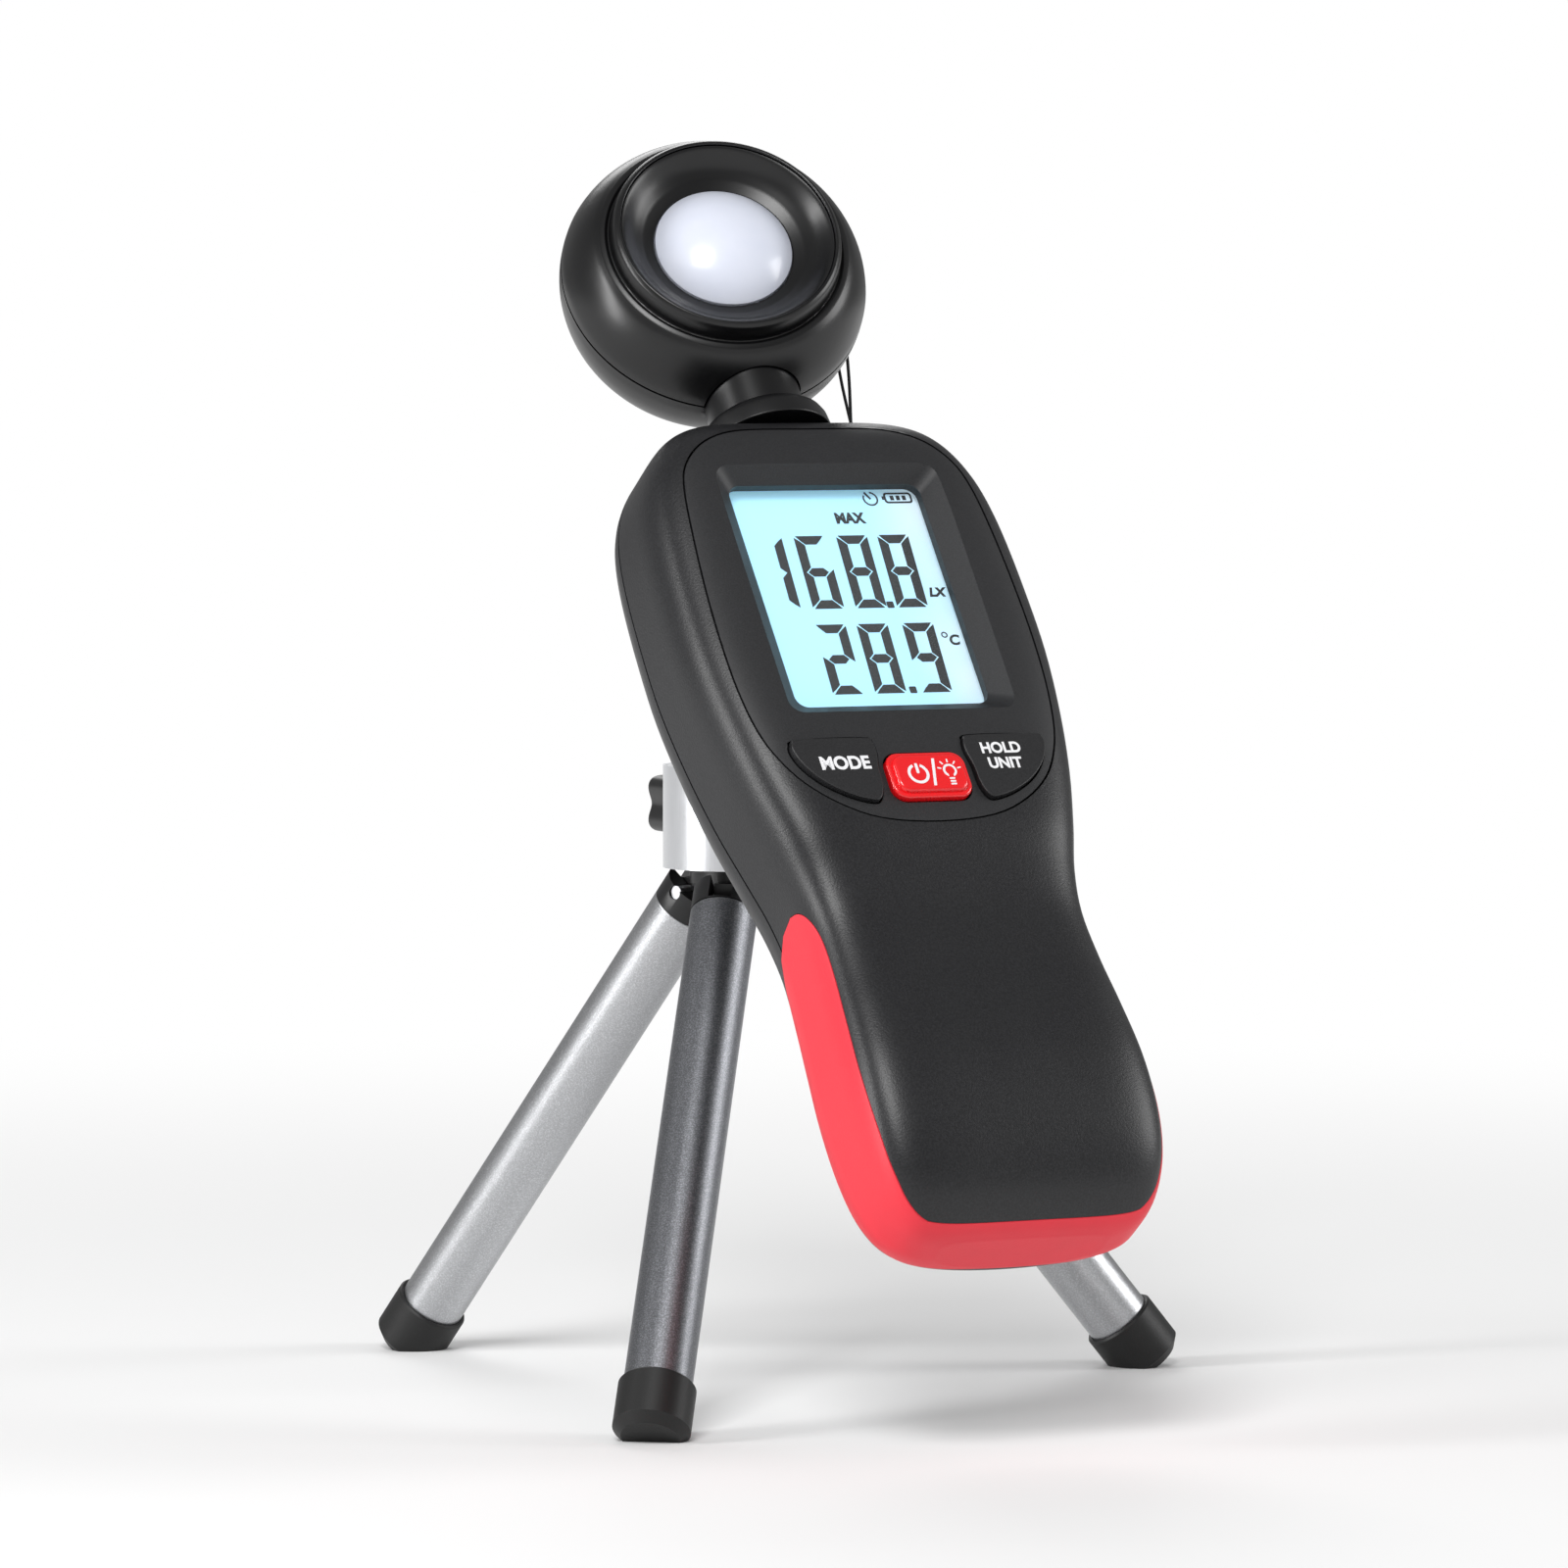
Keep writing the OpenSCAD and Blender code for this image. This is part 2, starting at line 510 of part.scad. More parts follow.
module ball_collar() color([0.8, 0.81, 0.82]) difference() {
  union() {
    rod(column_r - 2.65, column_z + column_h - 4.6, column_z + column_h + 0.1);
    rod(column_r - 2.2, column_z + column_h + 0.05, ball_z + 2.1);
  }
  translate([0, 0, ball_z]) sphere(r = ball_r + fit, $fn = 96);
  rod(ball_r + fit, 0, ball_z);
  notch();
}

module ball_shoe() color([0.75, 0.62, 0.32]) difference() {
  rod(column_r - 2.8, column_z + 6.2, ball_z - 5.9);
  translate([0, 0, ball_z]) sphere(r = ball_r + fit, $fn = 96);
  translate([0, 0, knob_z]) rotate([-90, 0, 0]) rod(2.2, 4, 30);
}

module lock_screw() color([0.7, 0.7, 0.72]) translate([0, 0, knob_z]) rotate([-90, 0, 0])
  rod(2, 4.1, column_r + 7);

module lock_knob() color([0.06, 0.06, 0.07]) translate([0, 0, knob_z]) rotate([-90, 0, 0])
  difference() {
    union() {
      rod(3.6, column_r + 0.4, column_r + 2.6);
      plate([for (a = [0:6:354]) (5.3 + 0.7 * cos(5 * a)) * [cos(a), sin(a)]],
        column_r + 2.5, column_r + 9);
    }
    rod(2.02, 0, column_r + 7.1);
  }

// ---- hub and legs ----

module hub() color([0.06, 0.06, 0.07]) difference() {
  union() {
    rod(7, pivot_z + 1.7, column_z - 0.1);
    rod(2.8, pivot_z - 5, pivot_z + 2);
    for (a = leg_yaw) rotate([0, 0, a]) difference() {
      box([-1.5, -pivot_r - 1.9, pivot_z - 1.9], [1.5, 0, pivot_z + 2.1]);
      translate([0, -pivot_r, pivot_z]) rotate([0, 90, 0]) translate([0, 0, -5]) rod(1 + fit, 0, 10);
    }
  }
  rod(1.55, 0, column_z + 1);
}

module hub_screw() color([0.7, 0.7, 0.72]) {
  rod(1.5, pivot_z - 4.4, column_z);
  rod(2.05, column_z - 0.05, column_z + 2.5);
  rod(3.6, column_z + 2.45, column_z + 5);
}

module leg_pins() color([0.75, 0.75, 0.77]) for (a = leg_yaw) rotate([0, 0, a])
  translate([-tube_r + 0.4, -pivot_r, pivot_z]) rotate([0, 90, 0]) rod(1, 0, 2 * tube_r - 0.8);

module leg_plug(k) color([0.05, 0.05, 0.06]) on_leg(k) difference() {
  union() {
    rod(tube_r, -0.8, 3.3);
    rod(tube_r - 0.85, 3.2, 12);
  }
  box([-1.75, -20, -10], [1.75, 20, 3.1]);
  rotate([0, 90, 0]) translate([0, 0, -10]) rod(1 + fit, 0, 20);
}

module leg_tube(k) color([0.66, 0.67, 0.69]) on_leg(k) ring(tube_r - 0.8, tube_r, 3.4, leg_len - 5.2);

module foot_cap(k) color([0.05, 0.05, 0.05]) difference() {
  on_leg(k) difference() {
    union() {
      rod(tube_r + 0.7, leg_len - 9.5, leg_len - 2.2);
      translate([0, 0, leg_len - 2.2]) cylinder(r1 = tube_r + 0.7, r2 = tube_r - 0.7, h = 1.4);
    }
    rod(tube_r + fit, leg_len - 10, leg_len - 5.1);
  }
  translate([-200, -200, -100]) cube([400, 400, 100]);
}

// ---- nodes ----

front_shell();
rear_shell();
grip_band();
front_panel();
display_window();
lcd_glass();
backlight();
lcd_frame();
main_board();
board_chips();
keypad_mat();
battery_tub();
batteries();
battery_contacts();
case_screws();
tripod_nut();
buzzer();
neck_collar();
mode_key();
hold_key();
power_key();
battery_door();
door_screw();
head_front_shell();
head_rear_shell();
bezel_ring();
dome_diffuser();
light_filter();
photodiode();
sensor_board();
head_screws();
neck_clip();
hang_loop();
ball_stud();
platform();
platform_pad();
mounting_stud();
column();
ball_collar();
ball_shoe();
lock_screw();
lock_knob();
hub();
hub_screw();
leg_pins();
leg_plug(0);  // leg_plug_front
leg_tube(0);  // leg_tube_front
foot_cap(0);  // foot_cap_front
leg_plug(1);  // leg_plug_right
leg_tube(1);  // leg_tube_right
foot_cap(1);  // foot_cap_right
leg_plug(2);  // leg_plug_back
leg_tube(2);  // leg_tube_back
foot_cap(2);  // foot_cap_back
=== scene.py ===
import math

import bpy
import numpy as np
from mathutils import Matrix, Vector


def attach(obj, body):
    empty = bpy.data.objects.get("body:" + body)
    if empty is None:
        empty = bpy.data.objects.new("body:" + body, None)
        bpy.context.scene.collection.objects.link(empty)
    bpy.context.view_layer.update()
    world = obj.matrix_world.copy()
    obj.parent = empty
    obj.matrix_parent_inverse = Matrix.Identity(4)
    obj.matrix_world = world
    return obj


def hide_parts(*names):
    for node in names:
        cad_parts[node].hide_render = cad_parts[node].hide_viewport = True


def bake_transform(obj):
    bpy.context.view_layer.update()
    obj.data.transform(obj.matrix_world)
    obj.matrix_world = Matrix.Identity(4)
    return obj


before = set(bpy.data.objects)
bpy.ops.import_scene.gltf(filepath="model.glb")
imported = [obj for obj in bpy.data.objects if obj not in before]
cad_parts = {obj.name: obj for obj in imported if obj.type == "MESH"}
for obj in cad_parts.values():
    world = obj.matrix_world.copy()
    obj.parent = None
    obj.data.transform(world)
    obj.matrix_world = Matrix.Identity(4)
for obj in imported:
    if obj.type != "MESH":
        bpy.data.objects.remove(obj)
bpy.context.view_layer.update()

# Pieces are modelled in millimetres and placed in metres. The meter's own frame has its origin at
# the centre of the ball, x across the case, y towards the sensor head and z out of the face.
MM = 0.001
PIVOT_Z = 95.2 * math.cos(math.radians(39))
COLUMN_Z = PIVOT_Z + 4
COLUMN_H = 15.4
BALL_Z = COLUMN_Z + COLUMN_H + 1.1
KNOB_Z = COLUMN_Z + 8.6
LEG_YAW = {"front": -37, "right": 83, "back": 203}
LEG_LENGTH = 95.2
PIVOT_R = 8
TUBE_R = 5

WORLD = Matrix.Identity(4)
METER = Matrix.Translation((0, 0, BALL_Z)) @ Matrix.Rotation(math.radians(90 - 36.5), 4, "X")
SPLIT_Z = 33
NECK_Y = 31
HEAD_R = 23.2
HEAD_Y = NECK_Y + HEAD_R + 7.6
HEAD_Z = SPLIT_Z + 3
HEAD = METER @ Matrix.Translation((0, HEAD_Y, HEAD_Z)) @ Matrix.Rotation(math.radians(-11), 4, "Y")
NECK = METER @ Matrix.Translation((0, NECK_Y, HEAD_Z)) @ Matrix.Rotation(math.radians(-90), 4, "X")
KNOB = Matrix.Translation((0, 0, KNOB_Z)) @ Matrix.Rotation(math.radians(-90), 4, "X")

PANEL_Z = 46
FACE_Z = 50
LCD_W, LCD_H, LCD_Y = 31.5, 39, -3
LCD_Z = PANEL_Z - 1.2
WALL = 2.2

# Stations along the case: y, half width, face height, back height
STATIONS = [(-106, 13, 36.5, 29.5), (-105.3, 16.8, 39, 27.4), (-103.6, 19.4, 41.2, 24.8),
            (-100.4, 21.4, 43.8, 21.7), (-95.8, 22.8, 46, 20.2), (-89.5, 23.5, 47.6, 20),
            (-81.5, 23.5, 48.4, 20), (-73, 22.9, 48.1, 20), (-65, 22.3, 47.4, 20),
            (-57, 22, 47.2, 20), (-50, 22.8, 48, 20), (-43, 24.5, 49.3, 20),
            (-34, 26.7, 49.8, 20), (-24, 28.4, 50, 20), (-13, 29.5, 50, 20), (-2, 29.5, 50, 20),
            (8, 29, 50, 20), (15, 28, 49.9, 20), (20, 26.4, 49.6, 20.3), (24, 24.2, 48.9, 21.2),
            (27, 21.6, 47.4, 22.6), (29.3, 18, 45, 24.8), (30.6, 14.2, 42.2, 27.2),
            (31, 11, 40, 29)]
PANEL = [(0, 26), (9, 26), (14, 25.2), (18.5, 23), (21.8, 19.5), (23.4, 15), (24.4, 7),
         (25.1, -3), (25.3, -12), (25, -20), (24, -27), (22.3, -32), (19.5, -36.5), (15, -40.3),
         (9, -42.8), (0, -43.6)]
SIDE_KEY = [(8.6, -29.8), (19, -29.8), (20.3, -30.4), (20.4, -32), (19.2, -34.6), (16.8, -37.2),
            (13.4, -39.3), (10, -40.4), (8.7, -40), (7.9, -38), (7.7, -35), (7.2, -32.4),
            (7.4, -30.6)]
BAND = [(-52.5, 38.6), (-53.2, 40.7), (-55.2, 42.3), (-59, 43.4), (-66, 44), (-80, 44.6),
        (-90, 44.3), (-97, 43), (-101, 41.5), (-104, 40), (-125, 39), (-125, 28.6), (-66, 28.6),
        (-59.5, 29.6), (-55.5, 32), (-53.3, 35)]


# ---- camera ----

def make_camera():
    """A long lens from the left of the display, a little above the level of the stand."""
    azimuth, elevation, distance = math.radians(-26.5), math.radians(3), 1.3
    back = Vector((math.sin(azimuth) * math.cos(elevation),
                   -math.cos(azimuth) * math.cos(elevation), math.sin(elevation)))
    bpy.ops.object.camera_add(location=Vector((0, 0, 0.1)) + back * distance)
    camera = bpy.context.object
    camera.rotation_euler = (-back).to_track_quat("-Z", "Y").to_euler()
    camera.data.lens = 198.9
    camera.data.sensor_width = 36
    camera.data.shift_x = 0.0305
    camera.data.shift_y = -0.0406
    bpy.context.scene.camera = camera


# ---- materials ----

class Wire:
    """The output of a node. Arithmetic on it adds Math nodes."""

    def __init__(self, paint, socket):
        self.paint = paint
        self.socket = socket

    def maths(self, operation, *others):
        values = dict(enumerate((self, *others)))
        return self.paint.node("ShaderNodeMath", values, operation=operation)

    def __add__(self, other):
        return self.maths("ADD", other)

    def __mul__(self, other):
        return self.maths("MULTIPLY", other)

    def __sub__(self, other):
        return self.maths("SUBTRACT", other)

    def __rsub__(self, other):
        return self * -1 + other

    def __gt__(self, other):
        return self.maths("GREATER_THAN", other)

    def __lt__(self, other):
        return self.maths("LESS_THAN", other)

    __radd__ = __add__
    __rmul__ = __mul__


class Paint:
    """A material built from nodes around one Principled shader."""

    def __init__(self, name, **sockets):
        self.material = bpy.data.materials.new(name)
        self.material.use_nodes = True
        self.tree = self.material.node_tree
        self.shader = self.tree.nodes["Principled BSDF"]
        for title, value in sockets.items():
            self.set(title.replace("_", " "), value)

    def feed(self, socket, value):
        if isinstance(value, Wire):
            self.tree.links.new(value.socket, socket)
        elif socket.type == "RGBA" and len(value) == 3:
            socket.default_value = (*value, 1)
        else:
            socket.default_value = value

    def set(self, title, value):
        self.feed(self.shader.inputs[title], value)

    def node(self, kind, values=None, output=0, stops=None, **settings):
        made = self.tree.nodes.new(kind)
        for title, value in settings.items():
            setattr(made, title, value)
        if stops:
            ramp = made.color_ramp.elements
            while len(ramp) < len(stops):
                ramp.new(0.5)
            for element, (position, shade) in zip(ramp, stops):
                element.position = position
                element.color = (shade, shade, shade, 1)
        for title, value in (values or {}).items():
            self.feed(made.inputs[title], value)
        return Wire(self, made.outputs[output])

    def place(self, scale=(1, 1, 1)):
        """Object coordinates, stretched by scale."""
        point = self.node("ShaderNodeTexCoord", output="Object")
        return self.node("ShaderNodeMapping", {"Vector": point, "Scale": scale})

    def noise(self, size, stretch=(1, 1, 1), detail=3, roughness=0.5):
        """Noise from 0 to 1 whose features are about size millimetres across."""
        return self.node("ShaderNodeTexNoise",
                         {"Vector": self.place(stretch), "Scale": 1 / (size * MM),
                          "Detail": detail, "Roughness": roughness}, output="Fac")

    def ramp(self, value, *stops):
        return self.node("ShaderNodeValToRGB", {"Fac": value}, stops=stops)

    def mix(self, factor, a, b):
        return self.node("ShaderNodeMix", {"Factor": factor, 6: a, 7: b}, output=2,
                         data_type="RGBA")

    def bumped(self, height, distance, strength=1):
        """Relief of that height in millimetres."""
        self.set("Normal", self.node("ShaderNodeBump", {
            "Height": height, "Distance": distance * MM, "Strength": strength}))
        return self

    def done(self):
        return self.material


def textured_plastic(name, colour, roughness, grain=0.3, relief=0.03, spread=0.08, **sockets):
    """Moulded plastic with a spark-eroded grain and faint handling marks."""
    paint = Paint(name, **sockets)
    fine = paint.noise(grain, detail=2)
    soft = paint.noise(9, detail=3)
    pale = [min(1, c * 1.6 + 0.006) for c in colour]
    paint.set("Base Color", paint.mix(paint.ramp(fine, (0.35, 0), (0.75, 1)), colour, pale))
    paint.set("Roughness", roughness + (soft - 0.5) * spread + (fine - 0.5) * spread)
    return paint.bumped(fine, relief).done()


def smooth_plastic(name, colour, roughness, spread=0.06, **sockets):
    """Glossier plastic with a barely uneven skin."""
    paint = Paint(name, **sockets)
    soft = paint.noise(6, detail=4)
    dust = paint.ramp(paint.noise(0.5, detail=5, roughness=0.7), (0.68, 0), (0.8, 1))
    paint.set("Base Color", paint.mix(dust * 0.1, colour, [c * 0.9 + 0.02 for c in colour]))
    paint.set("Roughness", roughness + (soft - 0.5) * spread + dust * 0.05)
    return paint.bumped(soft, 0.01).done()


def rubber(name, colour, roughness, grain=0.25):
    """Soft moulded rubber: matte, with a fine grain and a slightly darker bloom."""
    paint = Paint(name)
    fine = paint.noise(grain, detail=3)
    bloom = paint.ramp(paint.noise(7, detail=4), (0.3, 0), (0.75, 1))
    paint.set("Base Color", paint.mix(bloom * 0.35, colour, [c * 0.82 for c in colour]))
    paint.set("Roughness", roughness + (fine - 0.5) * 0.16)
    return paint.bumped(fine, 0.02).done()


def brushed_metal(name, colour, roughness, stretch=(1, 1, 0.03), grain=0.25, **sockets):
    """Turned or brushed metal with fine lines across the stretched direction."""
    paint = Paint(name, Metallic=1.0, **sockets)
    lines = paint.noise(grain, stretch, detail=4, roughness=0.65)
    cloud = paint.noise(6, detail=3)
    paint.set("Base Color", paint.mix(lines, [c * 0.82 for c in colour], colour))
    paint.set("Roughness", roughness + (lines - 0.5) * 0.18 + (cloud - 0.5) * 0.08)
    return paint.bumped(lines, 0.008).done()


def blasted_metal(name, colour, roughness, sparkle=0.35):
    """Bead-blasted aluminium: speckled, with small bright facets."""
    paint = Paint(name, Metallic=1.0)
    grit = paint.noise(0.22, detail=4, roughness=0.7)
    cloud = paint.noise(8, detail=3)
    bright = paint.ramp(grit, (0.45, 0), (0.7, 1))
    paint.set("Base Color", paint.mix(bright, [c * (1 - sparkle) for c in colour], colour))
    paint.set("Roughness", roughness + (grit - 0.5) * 0.25 + (cloud - 0.5) * 0.06)
    return paint.bumped(grit, 0.03).done()


def display_material():
    """Pale blue light through the display, with a whiter patch towards its right-hand edge."""
    paint = Paint("display_light", Roughness=0.25)
    side = paint.node("ShaderNodeSeparateXYZ", {
        "Vector": paint.node("ShaderNodeTexCoord", output="Object")}, output="X")
    glare = paint.node("ShaderNodeMapRange", {
        "Value": side, "From Min": 6 * MM, "From Max": 19 * MM, "To Min": 0, "To Max": 0.8},
        interpolation_type="SMOOTHSTEP")
    cloud = paint.noise(16, detail=1)
    colour = paint.mix(glare * paint.ramp(cloud, (0.3, 0.25), (0.62, 1)), (0.42, 0.8, 1.0),
                       (0.84, 0.9, 0.95))
    paint.set("Base Color", colour)
    paint.set("Emission Color", colour)
    paint.set("Emission Strength", 0.42)
    return paint.done()


def ink_material(name, colour, roughness=0.5):
    """Printed ink with slightly uneven cover."""
    paint = Paint(name)
    cover = paint.noise(0.4, detail=3)
    paint.set("Base Color", paint.mix(cover * 0.25, colour, [c * 0.85 for c in colour]))
    paint.set("Roughness", roughness + (cover - 0.5) * 0.1)
    return paint.done()


def glass_material():
    """A clear window that mostly shows as a faint gloss."""
    paint = Paint("clear_window", Base_Color=(0.9, 0.97, 1.0), Alpha=0.03)
    paint.set("Roughness", 0.06 + paint.noise(5) * 0.05)
    return paint.done()


def diffuser_material():
    """Milky plastic that glows a little all through."""
    paint = Paint("milky_dome", Subsurface_Weight=0.25, Subsurface_Scale=0.004,
                  Subsurface_Radius=(1, 1, 1), Coat_Roughness=0.08)
    cloud = paint.noise(4, detail=2)
    paint.set("Base Color", paint.mix(cloud, (0.70, 0.74, 0.87), (0.76, 0.79, 0.9)))
    paint.set("Roughness", 0.2 + cloud * 0.1)
    paint.set("Coat Weight", 0.3)
    return paint.done()


def cord_material():
    """Fine black braid, crossing round the cord."""
    paint = Paint("braided_cord")
    twist = paint.node("ShaderNodeTexWave", {
        "Vector": paint.place(), "Scale": 900, "Distortion": 1.5}, output="Fac",
        bands_direction="DIAGONAL")
    paint.set("Base Color", paint.mix(twist, (0.008, 0.008, 0.009), (0.03, 0.03, 0.033)))
    paint.set("Roughness", 0.65 + twist * 0.2)
    return paint.bumped(twist, 0.03).done()


# ---- modelling ----

def only(piece):
    bpy.ops.object.select_all(action="DESELECT")
    piece.select_set(True)
    bpy.context.view_layer.objects.active = piece


def newest(name):
    piece = bpy.context.object
    piece.name = piece.data.name = name
    return piece


def edit(piece, *steps):
    """Runs edit-mode operators in turn on the whole mesh."""
    only(piece)
    bpy.ops.object.mode_set(mode="EDIT")
    bpy.ops.mesh.select_all(action="SELECT")
    for operator, settings in steps:
        operator(**settings)
    bpy.ops.object.mode_set(mode="OBJECT")
    return piece


def apply(piece, kind, **settings):
    only(piece)
    modifier = piece.modifiers.new(kind.lower(), kind)
    for title, value in settings.items():
        setattr(modifier, title, value)
    bpy.ops.object.modifier_apply(modifier=modifier.name)
    return piece


def eased(piece, width, segments=3, angle=35):
    """Rounds the edges that turn by more than angle."""
    return apply(piece, "BEVEL", width=width, segments=segments, limit_method="ANGLE",
                 angle_limit=math.radians(angle), use_clamp_overlap=True)


def cut(piece, *tools, operation="DIFFERENCE"):
    for tool in tools:
        apply(piece, "BOOLEAN", operation=operation, object=tool, solver="MANIFOLD")
        bpy.data.objects.remove(tool)
    return piece


def common(piece, tool):
    return cut(piece, tool, operation="INTERSECT")


def curved(points, steps=6, closed=False):
    """Points along a smooth curve through the given ones."""
    p = np.array(points, float)
    if closed:
        p = np.vstack([p[-1], p, p[0], p[1]])
    else:
        p = np.vstack([2 * p[0] - p[1], p, 2 * p[-1] - p[-2]])
    found = []
    for a, b, c, d in zip(p, p[1:], p[2:], p[3:]):
        for t in np.arange(steps) / steps:
            found.append(0.5 * (2 * b + (c - a) * t + (2 * a - 5 * b + 4 * c - d) * t ** 2
                                + (3 * b - a - 3 * c + d) * t ** 3))
    if not closed:
        found.append(p[-2])
    return [tuple(point) for point in found]


def rounded(width, height, radius, centre=(0, 0), steps=8):
    """Outline of a rectangle with round corners."""
    outline = []
    for quarter, (sx, sy) in enumerate(((1, 1), (-1, 1), (-1, -1), (1, -1))):
        for i in range(steps + 1):
            a = math.radians(90 * (quarter + i / steps))
            outline.append((centre[0] + sx * (width / 2 - radius) + radius * math.cos(a),
                            centre[1] + sy * (height / 2 - radius) + radius * math.sin(a)))
    return outline


def mirrored(half):
    return half + [(-x, y) for x, y in reversed(half) if abs(x) > 0.01]


def grown(outline, by):
    """The outline moved out by a distance, along its own normals."""
    p = np.array(outline, float)
    along = np.roll(p, -1, axis=0) - np.roll(p, 1, axis=0)
    normal = np.stack([along[:, 1], -along[:, 0]], axis=1)
    normal /= np.linalg.norm(normal, axis=1)[:, None]
    area = np.sum(p[:, 0] * np.roll(p[:, 1], -1) - np.roll(p[:, 0], -1) * p[:, 1])
    return [tuple(q) for q in p + normal * by * np.sign(area)]


def slab(name, outline, low, high, scale=(1, 1)):
    """A flat plate with that outline, its upper face scaled about the outline's middle."""
    bpy.ops.object.select_all(action="DESELECT")
    bpy.ops.mesh.primitive_circle_add(vertices=len(outline), fill_type="NGON")
    piece = newest(name)
    middle = (np.max(outline, axis=0) + np.min(outline, axis=0)) / 2
    for vertex, (x, y) in zip(piece.data.vertices, outline):
        vertex.co = (x, y, low)
    return edit(
        piece,
        (bpy.ops.mesh.extrude_region_move,
         {"TRANSFORM_OT_translate": {"value": (0, 0, high - low)}}),
        (bpy.ops.transform.resize, {"value": (*scale, 1), "center_override": (*middle, high)}),
        (bpy.ops.mesh.select_all, {"action": "SELECT"}),
        (bpy.ops.mesh.normals_make_consistent, {"inside": False}))


def spun(name, profile, steps=96):
    """A solid turned about z from a closed profile of (radius, height)."""
    bpy.ops.object.select_all(action="DESELECT")
    bpy.ops.mesh.primitive_circle_add(vertices=len(profile))
    piece = newest(name)
    for vertex, (radius, height) in zip(piece.data.vertices, profile):
        vertex.co = (radius, 0, height)
    return edit(
        piece,
        (bpy.ops.mesh.spin, {"steps": steps, "angle": 2 * math.pi, "center": (0, 0, 0),
                             "axis": (0, 0, 1)}),
        (bpy.ops.mesh.select_all, {"action": "SELECT"}),
        (bpy.ops.mesh.remove_doubles, {"threshold": 0.0005}),
        (bpy.ops.mesh.delete_loose, {"use_verts": True, "use_edges": True, "use_faces": False}),
        (bpy.ops.mesh.select_all, {"action": "SELECT"}),
        (bpy.ops.mesh.normals_make_consistent, {"inside": False}))


def rod(name, radius, low, high, steps=64):
    return spun(name, [(0, low), (radius, low), (radius, high), (0, high)], steps)


def block(name, low, high):
    outline = [(low[0], low[1]), (high[0], low[1]), (high[0], high[1]), (low[0], high[1])]
    return slab(name, outline, low[2], high[2])


def turned(piece, matrix):
    piece.data.transform(matrix)
    return piece


def lofted(name, rows):
    """A closed body through equal rings of points."""
    count, around = len(rows), len(rows[0])
    bpy.ops.object.select_all(action="DESELECT")
    bpy.ops.mesh.primitive_grid_add(x_subdivisions=around, y_subdivisions=count - 1, size=1)
    piece = newest(name)
    for vertex in piece.data.vertices:
        i = round((vertex.co.y + 0.5) * (count - 1))
        j = round((vertex.co.x + 0.5) * around) % around
        vertex.co = rows[i][j]
    return edit(
        piece,
        (bpy.ops.mesh.remove_doubles, {"threshold": 0.0005}),
        (bpy.ops.mesh.fill_holes, {"sides": 0}),
        (bpy.ops.mesh.select_all, {"action": "SELECT"}),
        (bpy.ops.mesh.normals_make_consistent, {"inside": False}))


def carried(node):
    """A merged copy of a CAD node, in metres, ready to be smoothed."""
    piece = bpy.data.objects.new(node + "_form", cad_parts[node].data.copy())
    bpy.context.scene.collection.objects.link(piece)
    return edit(
        piece,
        (bpy.ops.mesh.remove_doubles, {"threshold": 1e-6}),
        (bpy.ops.mesh.dissolve_limited, {"angle_limit": math.radians(0.5)}))


def finished(piece, place, body, material, nodes=(), smooth=40, scale=MM):
    """Puts a piece in its place, smooths it, and joins it to its body."""
    piece.data.transform(Matrix.Scale(scale, 4) @ place)
    only(piece)
    bpy.ops.object.shade_smooth_by_angle(angle=math.radians(smooth))
    apply(piece, "WEIGHTED_NORMAL", keep_sharp=True)
    piece.data.materials.clear()
    piece.data.materials.append(material)
    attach(piece, body)
    if nodes:
        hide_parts(*nodes)
    return piece


# ---- case ----

def half_ring(width, height, side, power, y, skirt):
    steps = 48
    ring = [(width, y, SPLIT_Z - side * skirt)] if skirt else []
    for i in range(steps + 1):
        a = math.pi * i / steps
        across = math.copysign(abs(math.cos(a)) ** (2 / power), math.cos(a))
        ring.append((width * across, y, SPLIT_Z + side * height * math.sin(a) ** (2 / power)))
    return ring + ([(-width, y, SPLIT_Z - side * skirt)] if skirt else [])


def case_rows(side, grow, skirt):
    """Rings along one half of the case: side is 1 for the face and -1 for the back."""
    stations = curved(STATIONS, 5)
    last = len(stations) - 1
    rows = []
    for i, (y, width, top, low) in enumerate(stations):
        near = max(0, 1 - i / 20) * -1 + max(0, 1 - (last - i) / 20)
        y += grow * (near if 0 < i < last else math.copysign(1, i - 1))
        height = (top - SPLIT_Z if side > 0 else SPLIT_Z - low) + grow
        rows.append(half_ring(width + grow, height, side, 6 if side > 0 else 2.1, y, skirt))
    return rows


def case_form(name, side, grow=0.0, skirt=0.0):
    return lofted(name, case_rows(side, grow, skirt))


def full_form(name, grow=0.0):
    """Both halves as one solid, with the seam between them closed."""
    rows = []
    for face, back in zip(case_rows(1, grow, 0), case_rows(-1, grow, 0)):
        rows.append([(x, y, z + 0.15) for x, y, z in face]
                    + [(x, y, z - 0.15) for x, y, z in reversed(back)])
    return lofted(name, rows)


def face_form(name, grow=0.0, skirt=0.0):
    return case_form(name, 1, grow, skirt)


def back_form(name, grow=0.0, skirt=0.0):
    return case_form(name, -1, grow, skirt)


def shifted(piece, *offset):
    return turned(piece, Matrix.Translation(offset))


def band_prism(name, grow):
    outline = grown(curved(BAND[:10], 5) + BAND[10:], grow)
    side_on = Matrix(((0, 0, 1, 0), (1, 0, 0, 0), (0, 1, 0, 0), (0, 0, 0, 1)))
    return turned(slab(name, outline, -60, 60), side_on)


